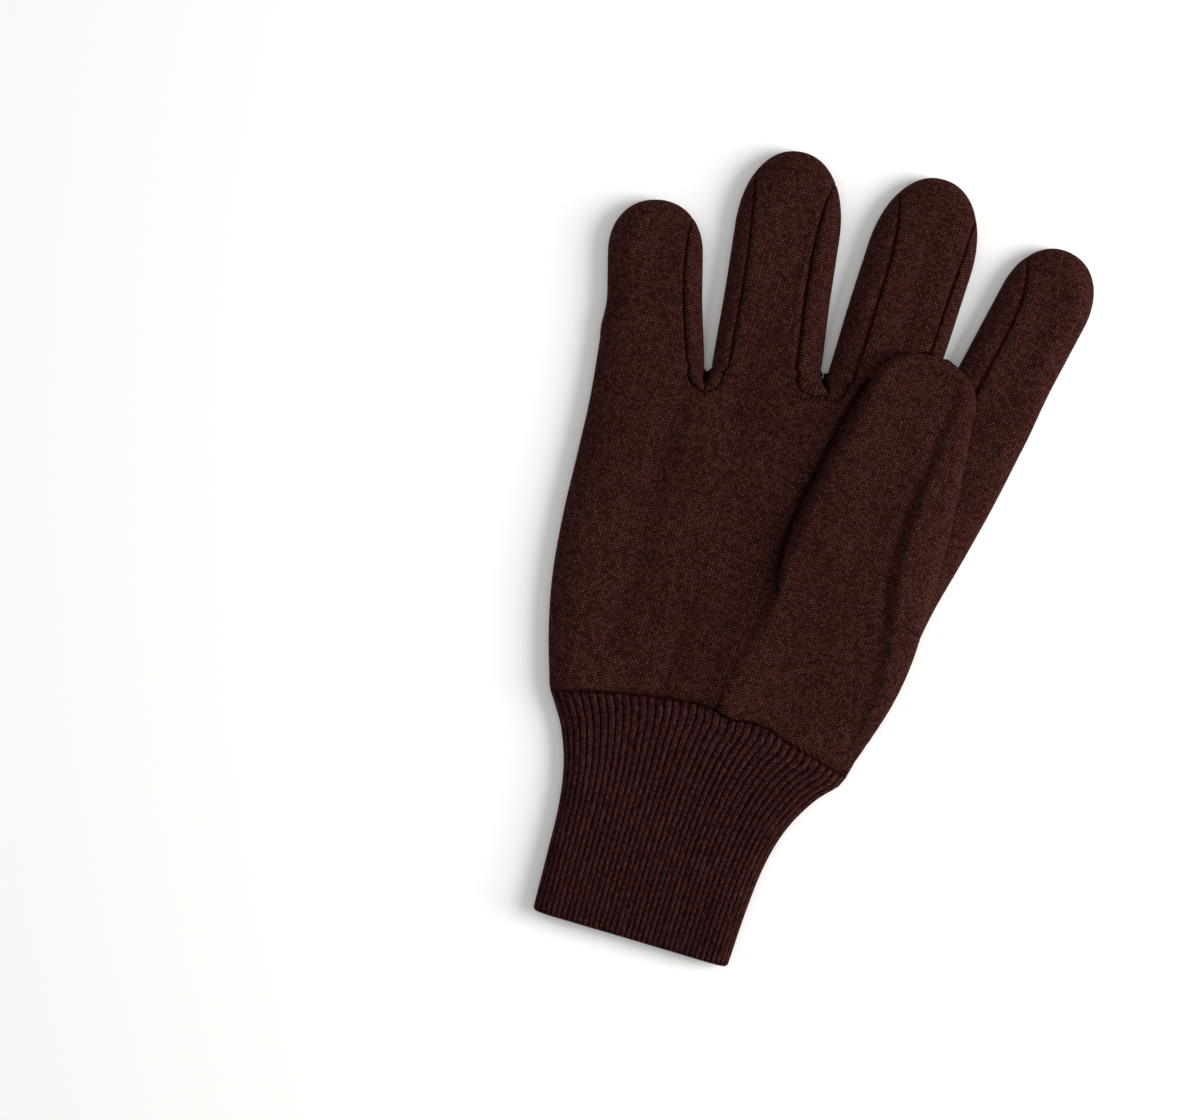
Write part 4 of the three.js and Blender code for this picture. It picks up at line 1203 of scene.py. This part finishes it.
def knit_material(name, base, wale_width, course_height, stagger, bump_depth, pits, painted_groove_shade):
    """Marled cotton knit: wales of small V stitches, with painted shade darkening the pits between them."""
    material = bpy.data.materials.new(name)
    n = Nodes(material)
    place = n.make("ShaderNodeAttribute", {}, "Vector", attribute_name="weave")
    across, along, groove = n.make("ShaderNodeSeparateXYZ", [place]).node.outputs
    height, stitch_tone = stitches(n, across, along, place, wale_width, course_height, stagger)

    fibre = n.remap(n.noise(place, "fibre"), *FIBRE_RANGE, 0.0, 1.0)
    stretched = [n.math("MULTIPLY", value, share) for value, share in zip((across, along), STRAND_STRETCH)]
    long_place = n.vector(*stretched, 4.0)
    strand = n.noise(long_place, "strand")
    hue = n.noise(long_place, "hue")
    broad = n.noise(place, "broad")

    stitch_share = n.math("MULTIPLY", stitch_tone, STITCH_TONE)
    tone = n.math("ADD", stitch_share, n.math("MULTIPLY", fibre, FIBRE_TONE))
    shade = n.remap(tone, *TONE_RANGE, *TONE_SHADES)
    # Painted shade: the pits between stitches are darker and the yarn's tops are lighter.
    shade = n.math("MULTIPLY", shade, n.remap(height, *pits))
    shade = n.math("MULTIPLY", shade, n.remap(strand, *NOISE_RANGE, *STRAND_SHADES))
    shade = n.math("MULTIPLY", shade, n.remap(broad, *NOISE_RANGE, *BROAD_SHADES))
    # Painted shade in the seams, the thumb's crease, the slits and the grooves between ribs.
    shade = n.math("MULTIPLY", shade, n.remap(groove, *TONE_RANGE, 1.0, painted_groove_shade))
    warm, cool = ((*np.multiply(base, hue_shares).tolist(), 1.0) for hue_shares in (WARM_HUE, COOL_HUE))
    colour = n.mix_colour(n.remap(hue, *HUE_RANGE, 0.0, 1.0), cool, warm)
    shade = n.math("MAXIMUM", shade, 0.001)
    shades = n.make("ShaderNodeCombineColor", [n.math("POWER", shade, power) for power in SHADE_POWERS])
    colour = n.mix_colour(1.0, colour, shades, "MULTIPLY")

    fuzz = n.noise(place, "fuzz")
    relief = n.math("ADD", height, n.math("MULTIPLY", fuzz, FUZZ))
    bump = {"Strength": BUMP_STRENGTH, "Distance": bump_depth / MM_PER_METRE, "Height": relief}
    normal = n.make("ShaderNodeBump", bump)
    roughness = n.remap(fuzz, *NOISE_RANGE, *ROUGHNESS)
    n.surface({"Base Color": colour, "Normal": normal, "Roughness": roughness, **SHEEN})
    return material


# Scene

FLOOR_HALF = 3.0
FLOOR_COLOUR = (0.86, 0.855, 0.85, 1.0)
FLOOR_ROUGHNESS = 0.9
ROOM_COLOUR = (1.0, 0.99, 0.98, 1.0)
ROOM_STRENGTH = 0.42

# Round area lights that point at the glove: places and sizes in metres, power in watts.
LIGHTS = table(
    "name place size power colour",
    ("key", (0.9, 0.2, 0.75), 0.75, 14.0, (1.0, 1.0, 1.0)),
    ("fill", (-0.8, 0.2, 1.1), 1.1, 3.0, (1.0, 1.0, 1.0)),
    ("top", (0.0, 0.1, 1.5), 1.0, 3.0, (1.0, 1.0, 1.0)),
    ("rim", (1.1, 0.1, 0.3), 0.45, 7.0, (1.0, 0.87, 0.72)),
)


def make_stage():
    mesh = bpy.data.meshes.new("floor")
    corners = [(FLOOR_HALF * x, FLOOR_HALF * y, 0.0) for x, y in ((-1, -1), (1, -1), (1, 1), (-1, 1))]
    mesh.from_pydata(corners, [], [(0, 1, 2, 3)])
    floor = add_object("floor", mesh)
    material = bpy.data.materials.new("pale_floor")
    Nodes(material).surface({"Base Color": FLOOR_COLOUR, "Roughness": FLOOR_ROUGHNESS})
    mesh.materials.append(material)

    world = bpy.data.worlds.new("soft_room")
    world.use_nodes = True
    background = world.node_tree.nodes["Background"]
    background.inputs["Color"].default_value = ROOM_COLOUR
    background.inputs["Strength"].default_value = ROOM_STRENGTH
    bpy.context.scene.world = world


def add_light(name, place, size, power, colour):
    data = bpy.data.lights.new(name, "AREA")
    data.shape = "DISK"
    data.size = size
    data.energy = power
    data.color = colour
    light = add_object(name, data)
    light.location = place
    light.rotation_euler = (-Vector(place)).to_track_quat("-Z", "Y").to_euler()


# The photograph, 1200 pixels wide, shows 388.4 mm. The glove is turned 16.5 degrees clockwise in it.
PHOTO_SIZE = (1200, 1120)
PHOTO_TURN = math.radians(16.5)
MM_PER_PIXEL = 0.3237
HEM_PIXEL = (631.2, 938.7)
LENS = 100.0
SENSOR = 36.0
CLOTH_LEVEL = 4.5


def make_camera():
    dx = (PHOTO_SIZE[0] / 2.0 - HEM_PIXEL[0]) * MM_PER_PIXEL
    dy = (HEM_PIXEL[1] - PHOTO_SIZE[1] / 2.0) * MM_PER_PIXEL
    cos, sin = math.cos(PHOTO_TURN), math.sin(PHOTO_TURN)
    x = cos * dx - sin * dy
    y = sin * dx + cos * dy
    distance = PHOTO_SIZE[0] * MM_PER_PIXEL * LENS / SENSOR
    data = bpy.data.cameras.new("camera")
    data.lens = LENS
    data.sensor_fit = "HORIZONTAL"
    data.sensor_width = SENSOR
    camera = add_object("camera", data)
    place = np.array([x + SHIFT[0], y + SHIFT[1], distance + CLOTH_LEVEL]) / MM_PER_METRE
    camera.location = place.tolist()
    camera.rotation_euler = (0.0, 0.0, PHOTO_TURN)
    bpy.context.scene.camera = camera


make_camera()
make_stage()
for light in LIGHTS:
    add_light(**light)
bpy.context.scene.view_settings.view_transform = "Standard"

jersey = knit_material("brown_jersey", **JERSEY)
rib_knit = knit_material("brown_rib_knit", **RIB_KNIT)

palm_sheet, back_sheets, seam_line, outer_line = hand_sheets()
thumb_front_sheet, thumb_back_sheet = thumb_sheets(seam_line, outer_line)
thumb_seam = seam_line[5::6, :2].tolist()
pieces = {"palm": sew(palm_sheet, CLOTH_WALL, thumb_seam)}
for finger, sheet in zip(FINGERS, back_sheets):
    pieces["back_" + finger["name"]] = sew(sheet, CLOTH_WALL)
pieces["thumb_front"] = sew(thumb_front_sheet, CLOTH_WALL, thumb_seam, slits=False)
pieces["thumb_back"] = sew(thumb_back_sheet, CLOTH_WALL, depth=THUMB_BACK_SEAM_DEPTH, slits=False)
pieces["cuff"] = make_cuff()
for node, piece in pieces.items():
    piece.data.materials.append(rib_knit if node == "cuff" else jersey)
    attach(piece, "root")
    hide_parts(node)
